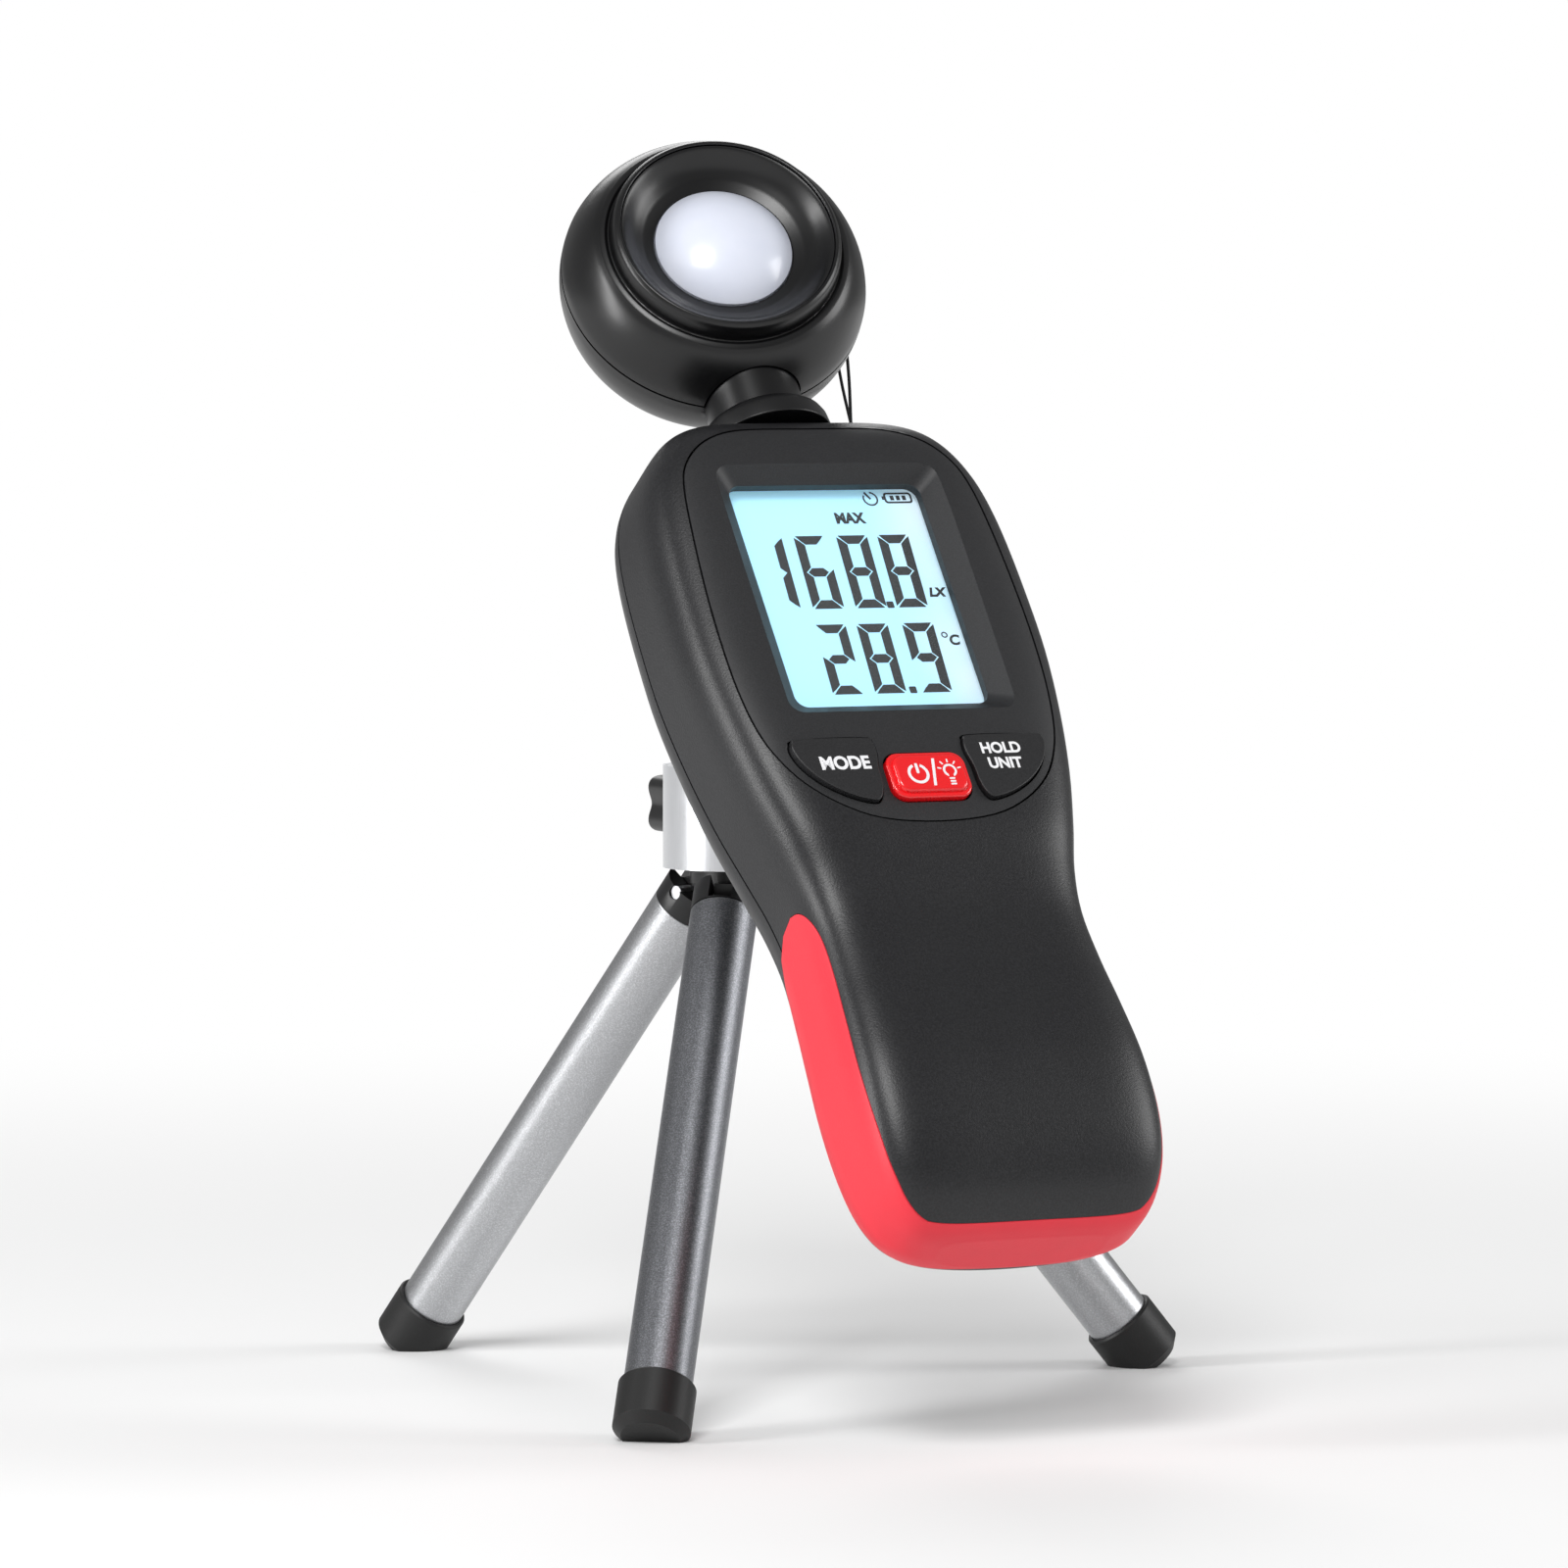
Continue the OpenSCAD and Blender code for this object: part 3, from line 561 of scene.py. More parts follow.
PANEL_OUTLINE = curved(mirrored(PANEL), 4, closed=True)
HOLD_OUTLINE = curved(SIDE_KEY, 4, closed=True)
MODE_OUTLINE = [(-x, y) for x, y in reversed(HOLD_OUTLINE)]
POWER_OUTLINE = rounded(12.8, 7.7, 2.2, (0, -36.5))
LCD_OUTLINE = rounded(LCD_W, LCD_H, 2, (0, LCD_Y))
BOSSES = [(x, y) for x in (21.8, -21.8) for y in (16, -27)]


def neck_tool(radius, low, high):
    return turned(rod("tool", radius, low, high), METER.inverted() @ NECK)


def make_front_shell(material):
    shell = shifted(face_form("front_case"), 0, 0, 0.15)
    cut(shell, face_form("tool", -WALL, 2))
    cut(shell, slab("tool", grown(PANEL_OUTLINE, 0.3), PANEL_Z, FACE_Z + 5))
    seat = common(slab("seat", grown(PANEL_OUTLINE, 1.9), PANEL_Z - 2, FACE_Z - 1.6),
                  face_form("tool", -1))
    cut(seat, slab("tool", grown(PANEL_OUTLINE, 0.3), PANEL_Z, FACE_Z + 5),
        slab("tool", grown(LCD_OUTLINE, 2.2), 0, FACE_Z),
        *[slab("tool", grown(o, 0.4), 0, FACE_Z)
          for o in (HOLD_OUTLINE, MODE_OUTLINE, POWER_OUTLINE)])
    cut(shell, seat, operation="UNION")
    groove = shifted(face_form("groove", 1), 0, 0, 0.15)
    cut(groove, face_form("tool", -1.25, 2))
    cut(shell, common(groove, band_prism("tool", 0.05)), neck_tool(5.05, -10, 10))
    eased(shell, 0.22, 2, 45)
    return finished(shell, METER, "meter", material, ["front_shell"], smooth=32)


def make_grip_band(material):
    band = full_form("grip_sleeve", 0.05)
    cut(band, full_form("tool", -1.2))
    common(band, band_prism("tool", -0.05))
    eased(band, 0.45, 3, 45)
    return finished(band, METER, "meter", material, ["grip_band"], smooth=32)


def make_rear_shell(material):
    shell = shifted(back_form("rear_case"), 0, 0, -0.15)
    hollow = back_form("tool", -WALL, 2)
    cut(hollow, rod("tool", 10.9, 0, 22.6), rod("tool", 7.2, 0, 28.6))
    for x, y in BOSSES:
        cut(hollow, shifted(rod("tool", 3.4, 0, 29), x, y, 0))
    cut(shell, hollow)
    door = rounded(32.2, 46, 2.5, (0, -74))
    cut(shell, slab("tool", door, 0, 28), block("tool", (-5.3, -54, 0), (5.3, -44.2, 21.7)),
        rod("tool", 3.4, 0, 40), shifted(rod("tool", 1.25, 0, 28.2), 0, -47.5, 0),
        neck_tool(5.05, -10, 10))
    for x, y in BOSSES:
        cut(shell, shifted(rod("tool", 2.45, 0, 28.3), x, y, 0))
    groove = shifted(back_form("groove", 1), 0, 0, -0.15)
    cut(groove, back_form("tool", -1.25, 2))
    cut(shell, common(groove, band_prism("tool", 0.05)))
    lug = slab("lug", rounded(4, 7, 1.6, (22, 23)), -0.8, 0.8)
    across = Matrix(((0, 0, 1, 20.5), (1, 0, 0, 0), (0, 1, 0, 0), (0, 0, 0, 1)))
    cut(turned(lug, across),
        turned(rod("tool", 0.45, -5, 5, 24),
               Matrix.Translation((20.5, 22, 21)) @ Matrix.Rotation(math.pi / 2, 4, "Y")))
    cut(shell, lug, operation="UNION")
    eased(shell, 0.22, 2, 45)
    return finished(shell, METER, "meter", material, ["rear_shell"], smooth=32)


def make_front_panel(material):
    panel = common(slab("fascia", PANEL_OUTLINE, PANEL_Z + 0.05, FACE_Z + 5),
                   face_form("tool", 0.05))
    cut(panel, slab("tool", LCD_OUTLINE, 0, FACE_Z + 5),
        slab("tool", LCD_OUTLINE, PANEL_Z + 1.4, PANEL_Z + 5.4, (1.28, 1.2)))
    for outline in (HOLD_OUTLINE, MODE_OUTLINE, POWER_OUTLINE):
        cut(panel, slab("tool", grown(outline, 0.3), 0, FACE_Z + 5))
    eased(panel, 0.3, 3, 22)
    return finished(panel, METER, "meter", material, ["front_panel"], smooth=30)


def make_side_key(name, outline, material):
    key = slab(name + "_cap", outline, PANEL_Z - 2.8, FACE_Z + 0.4)
    eased(key, 0.7, 4, 50)
    inner = grown(outline, -0.9)
    cut(key, slab("flange", grown(inner, 0.1), PANEL_Z - 3.6, PANEL_Z - 2.4), operation="UNION")
    return finished(key, METER, name, material, [name], smooth=35)


def make_power_key(material):
    key = eased(slab("power_cap", POWER_OUTLINE, PANEL_Z - 2.8, FACE_Z + 0.5), 0.4, 3, 50)
    crown = rounded(11.4, 6.3, 1.8, (0, -36.5))
    cut(key, eased(slab("crown", crown, FACE_Z, FACE_Z + 1.2), 0.65, 4, 50),
        slab("flange", rounded(14.6, 8.6, 2, (0, -36.5)), PANEL_Z - 3.6, PANEL_Z - 2.4),
        operation="UNION")
    return finished(key, METER, "power_key", material, ["power_key"], smooth=35)


def make_neck_collar(material):
    profile = [(5.05, 0.06), (5.05, 4.3), (7.9, 4.3), (8.9, 4), (9.6, 3.3), (10, 2.3), (10.2, 0.06)]
    collar = spun("collar", profile)
    return finished(eased(collar, 0.25, 3, 25), NECK, "meter", material, ["neck_collar"])


# ---- display and markings ----

def lettering(name, words, size, at, body, material, bold=0.03, slant=0.0, stretch=1.0):
    """Flat raised letters centred at a point of the meter's frame."""
    bpy.ops.object.select_all(action="DESELECT")
    bpy.ops.object.text_add()
    piece = newest(name)
    data = piece.data
    data.body, data.size, data.shear, data.offset = words, size, slant, bold * size
    data.align_x, data.align_y, data.extrude = "CENTER", "CENTER", 0.02
    bpy.ops.object.convert(target="MESH")
    piece = bpy.context.object
    turned(piece, Matrix.Translation(at) @ Matrix.Diagonal((stretch, 1, 1, 1)))
    return finished(piece, METER, body, material)


def bar(points, at, body_height=0.04):
    """A small flat plate through the given corners, at a height."""
    return slab("bar", points, at, at + body_height)


def joined(name, pieces):
    only(pieces[0])
    for piece in pieces:
        piece.select_set(True)
    bpy.ops.object.join()
    return newest(name)


# Segments of a digit one unit wide and high, as their two ends
SEGMENTS = {"a": ((0, 1), (1, 1)), "b": ((1, 1), (1, 0.5)), "c": ((1, 0.5), (1, 0)),
            "d": ((1, 0), (0, 0)), "e": ((0, 0), (0, 0.5)), "f": ((0, 0.5), (0, 1)),
            "g": ((0, 0.5), (1, 0.5))}
DIGITS = {"1": "bc", "2": "abged", "6": "afgedc", "8": "abcdefg", "9": "abcdfg"}


def segment(name, corner, width, height, stroke=1.5, gap=0.14):
    """One segment as a hexagon, pointed where it meets its neighbours."""
    (x0, y0), (x1, y1) = SEGMENTS[name]
    inset = stroke / 2
    a = np.array([inset + x0 * (width - stroke), inset + y0 * (height - stroke)])
    b = np.array([inset + x1 * (width - stroke), inset + y1 * (height - stroke)])
    along = (b - a) / np.linalg.norm(b - a)
    side = np.array([-along[1], along[0]]) * inset
    a, b = a + along * gap, b - along * gap
    outer = [a, a + along * inset + side, b - along * inset + side, b,
             b - along * inset - side, a + along * inset - side]
    if name in "abcdef":                    # the outer side of an edge segment runs to the corner
        middle = np.array([width, height]) / 2
        out = 1 if np.dot(side, (a + b) / 2 - middle) > 0 else -1
        if out > 0:
            outer[1], outer[2] = a + side - along * inset * 0.8, b + side + along * inset * 0.8
        else:
            outer[4], outer[5] = b - side + along * inset * 0.8, a - side - along * inset * 0.8
    lean = 0.045
    return [(corner[0] + p[0] + p[1] * lean, corner[1] + p[1]) for p in outer]


def make_reading(ink):
    """The figures on the display: two rows, each with its decimal point."""
    top = LCD_Z + 0.02
    bars = []
    rows = (("1688", -3.7, 12.9, 5.1, (-13.6, -6.5, 0.5, 7.3), (6.0, -3.5)),
            ("289", -18.7, 12.2, 5.1, (-7.8, -0.9, 6.6), (5.1, -18.5)))
    for figures, low, height, width, lefts, point in rows:
        for figure, left in zip(figures, lefts):
            bars += [bar(segment(s, (left, low), width, height), top) for s in DIGITS[figure]]
        bars.append(bar(rounded(1.15, 1.15, 0.2, (point[0] + 0.3, point[1] + 0.3)), top))
    clock = spun("bar", [(1.0, top), (1.25, top), (1.25, top + 0.04), (1.0, top + 0.04)], 32)
    bars.append(shifted(cut(clock, slab("tool", [(0, 0), (-2, 1.2), (-2, 3), (0.3, 3)], 0, 99)),
                        8.8, 15.7, 0))
    bars.append(bar([(7.9, 16.75), (8.2, 16.95), (8.95, 15.75), (8.7, 15.55)], top))
    frame_bar = bar(rounded(4.6, 1.9, 0.5, (13.4, 15.8)), top)
    bars.append(cut(frame_bar, slab("tool", rounded(4.0, 1.3, 0.3, (13.4, 15.8)), 0, 99)))
    bars += [bar([(x, 15.4), (x + 0.6, 15.4), (x + 0.6, 16.2), (x, 16.2)], top)
             for x in (12.1, 13.1, 14.1)]
    bars.append(bar([(11.1, 15.5), (10.75, 15.5), (10.75, 16.1), (11.1, 16.1)], top))
    finished(joined("display_figures", bars), METER, "meter", ink)
    lettering("display_max", "MAX", 2.5, (4.3, 12.2, top), "meter", ink, 0.05, stretch=0.88)
    lettering("display_lux", "LX", 2.1, (14.5, -1.2, top), "meter", ink, 0.05, 0.25)
    lettering("display_celsius", "C", 2.4, (14.8, -9.7, top), "meter", ink, 0.035, 0.15)
    ring = spun("degree", [(0.33, top), (0.52, top), (0.52, top + 0.04), (0.33, top + 0.04)], 24)
    finished(shifted(ring, 13.5, -8.7, 0), METER, "meter", ink)


def make_key_marks(white):
    top = FACE_Z + 0.41
    lettering("mode_word", "MODE", 3.0, (-12.9, -34.2, top), "mode_key", white, 0.035, stretch=0.94)
    lettering("hold_word", "HOLD", 2.5, (12.9, -32.3, top), "hold_key", white, 0.035, stretch=0.94)
    lettering("unit_word", "UNIT", 2.5, (12.9, -34.9, top), "hold_key", white, 0.035, stretch=0.94)
    high = FACE_Z + 1.21
    arc = spun("bar", [(1.25, high), (1.7, high), (1.7, high + 0.04), (1.25, high + 0.04)], 48)
    arc = cut(arc, slab("tool", [(0, 0), (-1.3, 3), (1.3, 3)], 0, 99))
    marks = [shifted(arc, -2.2, -36.8, 0),
             bar(rounded(0.45, 1.7, 0.15, (-2.2, -35.9)), high),
             bar([(-0.3, -38.9), (0.15, -38.9), (1.05, -34.3), (0.6, -34.3)], high)]
    bulb = spun("bar", [(0.75, high), (1.1, high), (1.1, high + 0.04), (0.75, high + 0.04)], 32)
    marks.append(shifted(cut(bulb, slab("tool", [(-0.4, 0), (0.4, 0), (0.4, -3), (-0.4, -3)],
                                        0, 99)), 3.0, -36.4, 0))
    for y in (-37.75, -38.25, -38.7):
        marks.append(bar(rounded(0.9, 0.28, 0.1, (3.0, y)), high))
    for angle in (15, 52, 90, 128, 165):
        ray = bar(rounded(0.65, 0.22, 0.1, (1.65, 0)), high)
        turned(ray, Matrix.Rotation(math.radians(angle), 4, "Z"))
        marks.append(shifted(ray, 3.0, -36.4, 0))
    finished(joined("power_symbol", marks), METER, "power_key", white)


# ---- sensor head ----

FRONT_SKIN = [(24.2, 0.15), (24.05, 2), (23.3, 4.6), (22.2, 6.9), (20.9, 8.7), (19.7, 9.7)]
RIM = [(19, 9.9), (18.5, 9.5), (18.25, 9.7), (18.2, 11.8), (17.95, 12.6), (17.4, 13.1)]
FRONT_INSIDE = [(17, 13), (17, 8.8), (17.6, 7.9), (19.6, 6.7), (21, 4.4), (21.8, 2), (22, 0.15)]
BACK_SKIN = [(24.2, -0.15), (24.05, -2.4), (23.4, -5.2), (22, -8.2), (19.6, -11), (16.4, -13.2),
             (12, -14.8), (6, -15.7), (0, -15.9)]
BACK_INSIDE = [(0, -13.7), (6, -13.5), (11.4, -12.7), (15.4, -11.2), (18.2, -9.2), (20.2, -7),
               (21.4, -4.6), (22, -2), (22, -0.15)]
HEAD_SCALE = HEAD_R / 24.2
LUG_TURN, LUG_R = 31, HEAD_R + 3
REACH = HEAD_Y - NECK_Y


def fitted(profile):
    return [(r * HEAD_SCALE, z) for r, z in profile]


def down(piece):
    """Turns a piece made along z to point down the neck."""
    return turned(piece, Matrix.Rotation(math.pi / 2, 4, "X"))


def make_head(gloss, dome):
    front = spun("head_cover", fitted(curved(FRONT_SKIN, 5) + RIM + FRONT_INSIDE), 128)
    eased(front, 0.25, 3, 28)
    cut(front, down(rod("tool", 7.6, 14, 44)))
    finished(front, HEAD, "head", gloss, ["head_front_shell"])

    back = spun("head_body", fitted(curved(BACK_SKIN, 5) + BACK_INSIDE), 128)
    neck = [(0, HEAD_R - 9.7), (7.3, HEAD_R - 9.7), (7.3, REACH - 4.6), (5, REACH - 4.4),
            (5, REACH + 9.4), (0, REACH + 9.4)]
    lug = slab("lug", rounded(8.2, 3.4, 1.5, (LUG_R - 2.9, 0)), -0.7, 0.7)
    cut(lug, shifted(rod("tool", 0.45, -5, 5, 24), LUG_R, 0, 0))
    cut(back, down(spun("neck", neck)),
        turned(lug, Matrix.Rotation(math.radians(LUG_TURN), 4, "Y")), operation="UNION")
    cut(back, down(rod("tool", 3.6, 0, REACH + 10)))
    eased(back, 0.2, 3, 40)
    finished(back, HEAD, "head", gloss, ["head_rear_shell"])

    dish = [(16.9, 12.7), (16.3, 12.3), (14.6, 10.6), (12.6, 9.3)]
    bezel = spun("bezel", fitted(curved(dish, 4)) + [(10.6, 8.8), (10.6, 8),
                                                     (14 * HEAD_SCALE, 8),
                                                     (16.9 * HEAD_SCALE, 8.7)], 128)
    finished(eased(bezel, 0.12, 2, 50), HEAD, "head", gloss, ["bezel_ring"])

    ball = 1.5 * 10.4
    arc = [(ball * math.sin(a), 13 - ball + ball * math.cos(a))
           for a in np.linspace(0, math.asin(10.4 / ball), 24)]
    inner = [(ball * math.sin(a), 11.5 - ball + ball * math.cos(a))
             for a in np.linspace(math.asin(9 / ball), 0, 16)]
    profile = arc + [(10.4, 7.8), (12, 7.8), (12, 6.3), (9, 6.3)] + inner
    finished(spun("dome", profile, 128), HEAD, "head", dome, ["dome_diffuser"])


# ---- hanging loop ----

def loop_route():
    """The loop's line in metres: from the case's eyelet, up through the head's lug and back."""
    eyelet = Vector((20.5, 22, 21))
    turn = Matrix.Rotation(math.radians(-11), 3, "Y")
    out = turn @ Matrix.Rotation(math.radians(LUG_TURN), 3, "Y")
    lug = Vector((0, HEAD_Y, HEAD_Z)) + out @ Vector((LUG_R, 0, 0))
    across = out @ Vector((0, 0, -1))
    up = (lug - eyelet).normalized()
    bend = 1.3
    route = []
    for a in np.radians([-75, -60, -40, -20]):
        route.append(eyelet + Vector((1, 0, 0)) * (bend * math.cos(a)) + up * (bend * (1 + math.sin(a))))
    route[0] = eyelet + Vector((0.35, 0, 0.02))
    start, stop = eyelet + up * 1.6, lug - up * 1.6
    for t in (0, 0.25, 0.5, 0.75, 1):
        side = Vector((1, 0, 0)).lerp(across, t)
        route.append(start.lerp(stop, t) + side.normalized() * bend)
    for a in np.radians([25, 50, 75, 90]):
        route.append(lug - up * bend + across * (bend * math.cos(a)) + up * (bend * math.sin(a)))
    half = len(route)
    for i in range(half - 2, -1, -1):
        point = route[i]
        line = eyelet.lerp(lug, min(1, max(0, (point - eyelet).dot(up) / (lug - eyelet).length)))
        foot = eyelet + up * (point - eyelet).dot(up)
        route.append(2 * foot - point)
    return [METER @ p * MM for p in route], METER @ eyelet * MM, METER @ lug * MM


def make_hang_loop(material):
    route, low, high = loop_route()
    line = curved([tuple(p) for p in route], 4)
    curve = bpy.data.curves.new("hanging_cord", "CURVE")
    curve.dimensions = "3D"
    curve.bevel_depth = 0.25 * MM
    curve.bevel_resolution = 3
    curve.use_fill_caps = True
    spline = curve.splines.new("POLY")
    spline.points.add(len(line) - 1)
    for point, place in zip(spline.points, line):
        point.co = (*place, 1)
    piece = bpy.data.objects.new("hanging_cord", curve)
    bpy.context.scene.collection.objects.link(piece)
    only(piece)
    bpy.ops.object.convert(target="MESH")
    piece = newest("hanging_cord")
    bpy.ops.object.shade_smooth()
    piece.data.materials.append(material)
    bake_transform(piece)
    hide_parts("hang_loop")


# ---- stand ----

def leg_place(yaw):
    return (Matrix.Rotation(math.radians(yaw), 4, "Z") @ Matrix.Translation((0, -PIVOT_R, PIVOT_Z))
            @ Matrix.Rotation(math.radians(180 - 39), 4, "X"))


def make_legs(tube_metals, rim_metal, black, foot_black):
    for name, yaw in LEG_YAW.items():
        place = leg_place(yaw)
        body = "leg_" + name
        low = LEG_LENGTH - 5.2
        tube = spun("tube_" + name, [(4.2, 3.4), (4.2, low), (4.9, low), (5, low - 0.15), (5, 3.55),
                                     (4.9, 3.4)], 64)
        finished(tube, place, body, tube_metals[name], ["leg_tube_" + name])
        cap = [(0, LEG_LENGTH - 5.1), (5.05, LEG_LENGTH - 5.1), (5.05, LEG_LENGTH - 9.5),
               (5.45, LEG_LENGTH - 9.5), (5.7, LEG_LENGTH - 9.2), (5.7, LEG_LENGTH - 2.2),
               (4.3, LEG_LENGTH - 0.8), (0, LEG_LENGTH - 0.8)]
        foot = spun("foot_" + name, cap, 64)
        turned(foot, place)
        edit(foot, (bpy.ops.mesh.bisect, {"plane_co": (0, 0, 0), "plane_no": (0, 0, 1),
                                          "use_fill": True, "clear_inner": True}))
        eased(foot, 0.35, 3, 30)
        finished(foot, WORLD, body, foot_black, ["foot_cap_" + name])
        plug = carried("leg_plug_" + name)
        apply(plug, "BEVEL", width=0.2 * MM, segments=2, limit_method="ANGLE",
              angle_limit=math.radians(40))
        finished(plug, WORLD, body, black, ["leg_plug_" + name], scale=1)


def notch(width=7.2, low=6.4):
    return block("tool", (-width / 2, -30, COLUMN_Z + low), (width / 2, 0, BALL_Z + 20))


def make_column(steel, bright):
    top = COLUMN_Z + COLUMN_H
    column = spun("post", [(2.1, COLUMN_Z), (11, COLUMN_Z), (11, top), (8.4, top),
                           (8.4, COLUMN_Z + 2.4), (2.1, COLUMN_Z + 2.4)], 128)
    cut(column, notch(), turned(rod("tool", 2.05, 0, 30), KNOB))
    eased(column, 0.3, 3, 40)
    finished(column, WORLD, "column", steel, ["column"])
    ball = 6.55
    collar = spun("ball_seat", [(ball, top - 4.6), (8.35, top - 4.6), (8.35, top + 0.05),
                                (8.8, top + 0.05), (8.8, BALL_Z + 2.1), (6.2, BALL_Z + 2.1),
                                (ball, BALL_Z)], 128)
    cut(collar, notch())
    eased(collar, 0.25, 3, 40)
    finished(collar, WORLD, "column", bright, ["ball_collar"])


def make_ball(steel, rubber_black):
    radius = 6.5
    arc = [(radius * math.sin(a), radius * math.cos(a))
           for a in np.linspace(math.radians(157), math.asin(2.6 / radius), 28)]
    ball = spun("ball", [(0, arc[0][1])] + arc + [(2.6, 13.6), (0, 13.6)], 96)
    finished(ball, METER, "ball", steel, ["ball_stud"])
    plate = spun("platform_disc", [(0, 13.65), (6.5, 13.65), (10.2, 14.6), (10.6, 15.2), (10.6, 17),
                                   (10.2, 17.5), (0, 17.5)], 96)
    finished(eased(plate, 0.2, 2, 25), METER, "ball", steel, ["platform"])
    pad = spun("pad", [(4.4, 17.55), (10.2, 17.55), (10.2, 19.85), (4.4, 19.85)], 96)
    finished(eased(pad, 0.3, 3, 40), METER, "ball", rubber_black, ["platform_pad"])


def make_knob(material):
    lobes = [((5.3 + 0.7 * math.cos(5 * a)) * math.cos(a), (5.3 + 0.7 * math.cos(5 * a)) * math.sin(a))
             for a in np.radians(np.arange(0, 360, 4))]
    knob = eased(slab("lock_wheel", lobes, 13.5, 20), 0.6, 4, 60)
    cut(knob, spun("hub", [(0, 11.4), (3.6, 11.4), (3.6, 13.6), (0, 13.6)]), operation="UNION")
    cut(knob, rod("tool", 2.02, 0, 18.1))
    finished(knob, KNOB, "lock", material, ["lock_knob"])


def make_hub(material):
    hub = carried("hub")
    apply(hub, "BEVEL", width=0.15 * MM, segments=2, limit_method="ANGLE",
          angle_limit=math.radians(40))
    finished(hub, WORLD, "base", material, ["hub"], scale=1)


def make_battery_door(material):
    door = carried("battery_door")
    apply(door, "BEVEL", width=0.2 * MM, segments=2, limit_method="ANGLE",
          angle_limit=math.radians(40))
    finished(door, WORLD, "battery_door", material, ["battery_door"], scale=1)


# ---- inner and small nodes that keep their CAD shape ----

def repaint(paints):
    for material, nodes in paints:
        for node in nodes:
            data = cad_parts[node].data
            data.materials.clear()
            data.materials.append(material)


# ---- floor and light ----

def make_floor():
    """A pale floor that keeps the object's shadow and fades into the white behind."""
    bpy.ops.object.select_all(action="DESELECT")
    bpy.ops.mesh.primitive_circle_add(vertices=96, radius=6, fill_type="NGON")
    floor = newest("floor")
    paint = Paint("floor_paper", Base_Color=(0.86, 0.86, 0.86), Roughness=0.9)
    point = paint.node("ShaderNodeTexCoord", output="Object")
    far = paint.node("ShaderNodeVectorMath", {0: point}, output="Value", operation="LENGTH")
    fade = paint.node("ShaderNodeMapRange", {"Value": far, "From Min": 0.16, "From Max": 0.6,
                                             "To Min": 0.0, "To Max": 1.0},
                      interpolation_type="SMOOTHSTEP")
    seen = paint.node("ShaderNodeLightPath", output="Is Camera Ray")
    glossy = paint.node("ShaderNodeLightPath", output="Is Glossy Ray")
    white = paint.node("ShaderNodeEmission", {"Color": (1, 1, 1), "Strength": 1.0})
    mixed = paint.node("ShaderNodeMixShader", {
        0: fade * seen.maths("MAXIMUM", glossy), 1: Wire(paint, paint.shader.outputs[0]), 2: white})
    output = paint.tree.nodes["Material Output"]
    paint.feed(output.inputs["Surface"], mixed)
    floor.data.materials.append(paint.done())


def make_world():
    world = bpy.data.worlds.new("studio")
    bpy.context.scene.world = world
    world.use_nodes = True
    tree = world.node_tree
    background = tree.nodes["Background"]
    path = tree.nodes.new("ShaderNodeLightPath")
    level = tree.nodes.new("ShaderNodeMapRange")
    level.inputs["To Min"].default_value = 0.3
    level.inputs["To Max"].default_value = 1.0
    tree.links.new(path.outputs["Is Camera Ray"], level.inputs["Value"])
    tree.links.new(level.outputs[0], background.inputs["Strength"])
    background.inputs["Color"].default_value = (1, 1, 1, 1)


def make_lamp(name, place, size, power, shape=(1, 1)):
    bpy.ops.object.light_add(type="AREA", location=place)
    lamp = bpy.context.object
    lamp.name = name
    lamp.data.shape = "RECTANGLE"
    lamp.data.size, lamp.data.size_y = size * shape[0], size * shape[1]
    lamp.data.energy = power
    lamp.rotation_euler = (Vector((0, -0.02, 0.1)) - Vector(place)).to_track_quat("-Z", "Y").to_euler()


def make_light():
    make_world()
    make_lamp("key", (-0.55, -0.75, 0.95), 0.4, 9)
    make_lamp("fill", (0.95, -0.45, 0.45), 0.45, 4)
    make_lamp("left_strip", (-0.95, 0.05, 0.3), 0.35, 6, (0.5, 2))
    make_lamp("back", (0.3, 0.9, 0.8), 0.6, 4)


# ---- assembly ----

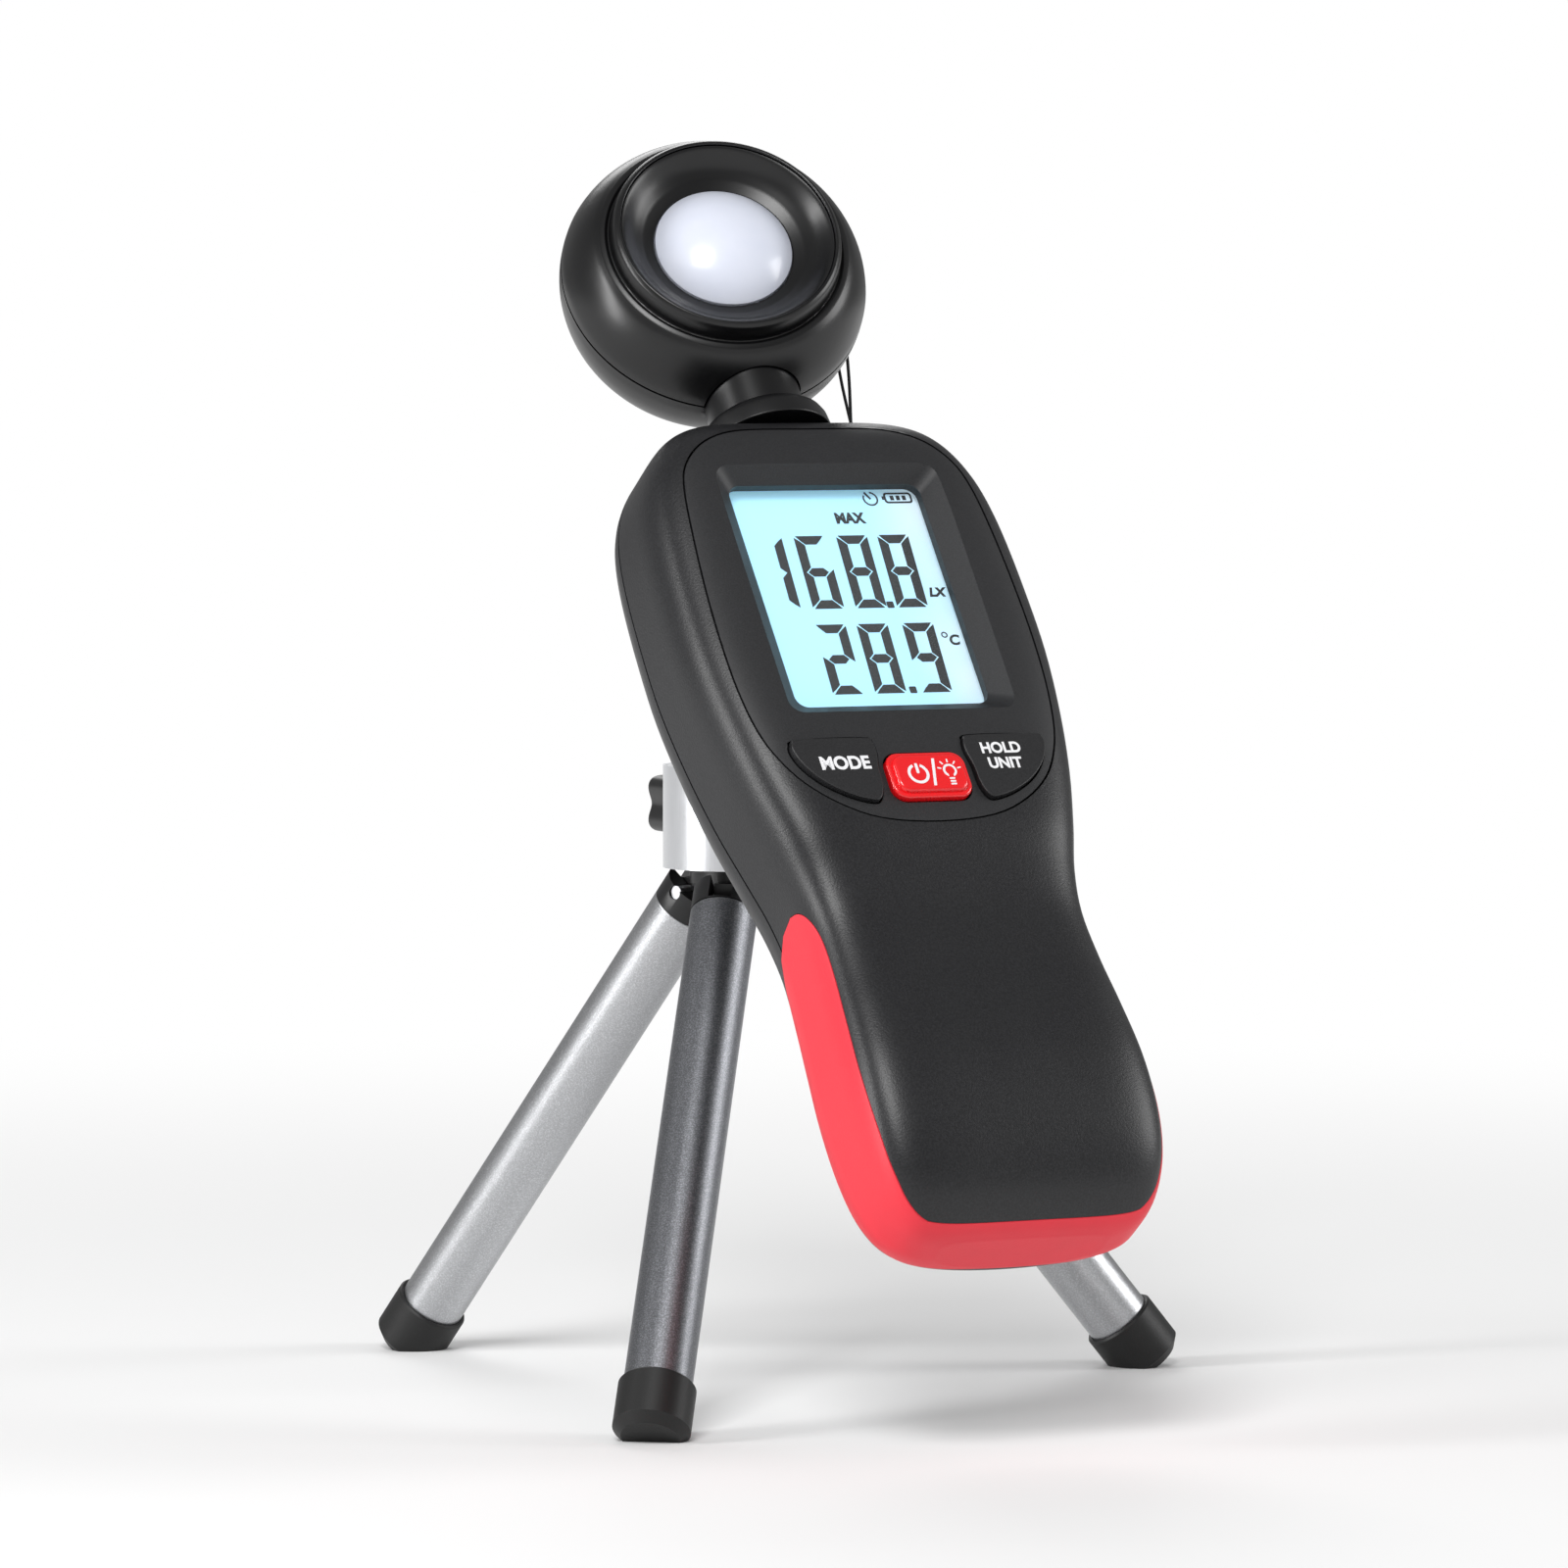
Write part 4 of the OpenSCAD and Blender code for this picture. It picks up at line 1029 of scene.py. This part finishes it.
def main():
    make_camera()
    make_hang_loop(cord_material())

    case_black = textured_plastic("case_black", (0.0055, 0.0056, 0.0068), 0.4)
    rear_black = textured_plastic("rear_black", (0.0055, 0.0056, 0.0068), 0.42)
    panel_black = textured_plastic("panel_black", (0.009, 0.0092, 0.0105), 0.5, grain=0.2, relief=0.012)
    key_black = textured_plastic("key_black", (0.007, 0.007, 0.008), 0.48, grain=0.2, relief=0.01)
    head_black = smooth_plastic("head_black", (0.0016, 0.0016, 0.002), 0.32)
    collar_black = smooth_plastic("collar_black", (0.003, 0.003, 0.0035), 0.38)
    stand_black = smooth_plastic("stand_black", (0.004, 0.004, 0.0045), 0.38)
    foot_black = rubber("foot_black", (0.003, 0.003, 0.003), 0.5)
    pad_black = rubber("pad_black", (0.01, 0.01, 0.01), 0.7)
    grip_red = rubber("grip_red", (0.78, 0.025, 0.045), 0.5)
    key_red = smooth_plastic("key_red", (0.83, 0.008, 0.012), 0.22, Coat_Weight=0.4)
    ink = ink_material("display_ink", (0.006, 0.007, 0.009))
    white = ink_material("key_white", (0.88, 0.88, 0.9))
    steel = brushed_metal("satin_steel", (0.72, 0.73, 0.75), 0.3)
    bright = brushed_metal("bright_steel", (0.85, 0.86, 0.87), 0.18)
    pale_tube = blasted_metal("pale_tube", (0.68, 0.69, 0.71), 0.34)
    # The front leg gets a darker copy of the same blasted aluminium with stronger speckle: painted shade
    # on that leg, not a different metal.
    painted_shade_tube = blasted_metal("painted_shade_tube", (0.42, 0.43, 0.46), 0.36, 0.55)
    brass = brushed_metal("brass", (0.75, 0.55, 0.22), 0.3)

    make_front_shell(case_black)
    make_rear_shell(rear_black)
    make_grip_band(grip_red)
    make_front_panel(panel_black)
    make_side_key("mode_key", MODE_OUTLINE, key_black)
    make_side_key("hold_key", HOLD_OUTLINE, key_black)
    make_power_key(key_red)
    make_neck_collar(collar_black)
    make_battery_door(rear_black)
    make_reading(ink)
    make_key_marks(white)
    make_head(head_black, diffuser_material())
    # The front leg's tube carries the painted-shade copy of the aluminium; the other two legs keep the
    # plain one.
    make_legs({"front": painted_shade_tube, "right": pale_tube, "back": pale_tube}, bright, stand_black,
              foot_black)
    make_column(steel, bright)
    make_ball(steel, pad_black)
    make_knob(stand_black)
    make_hub(stand_black)

    off_white = smooth_plastic("off_white", (0.7, 0.7, 0.67), 0.5)
    laminate = textured_plastic("board_green", (0.015, 0.12, 0.05), 0.4)
    repaint([
        (display_material(), ["lcd_glass"]),
        (glass_material(), ["display_window"]),
        (off_white, ["lcd_frame", "backlight"]),
        (laminate, ["main_board", "sensor_board"]),
        (key_black, ["board_chips", "buzzer", "battery_tub", "photodiode"]),
        (rubber("mat_grey", (0.2, 0.2, 0.21), 0.6), ["keypad_mat"]),
        (smooth_plastic("cell_sleeve", (0.05, 0.2, 0.55), 0.3), ["batteries"]),
        (steel, ["battery_contacts", "neck_clip", "case_screws", "door_screw", "head_screws",
                 "leg_pins", "hub_screw", "lock_screw", "mounting_stud"]),
        (brass, ["tripod_nut", "ball_shoe"]),
        (smooth_plastic("filter_green", (0.1, 0.35, 0.15), 0.2), ["light_filter"]),
    ])

    make_floor()
    make_light()
    bpy.context.scene.view_settings.view_transform = "Standard"


main()
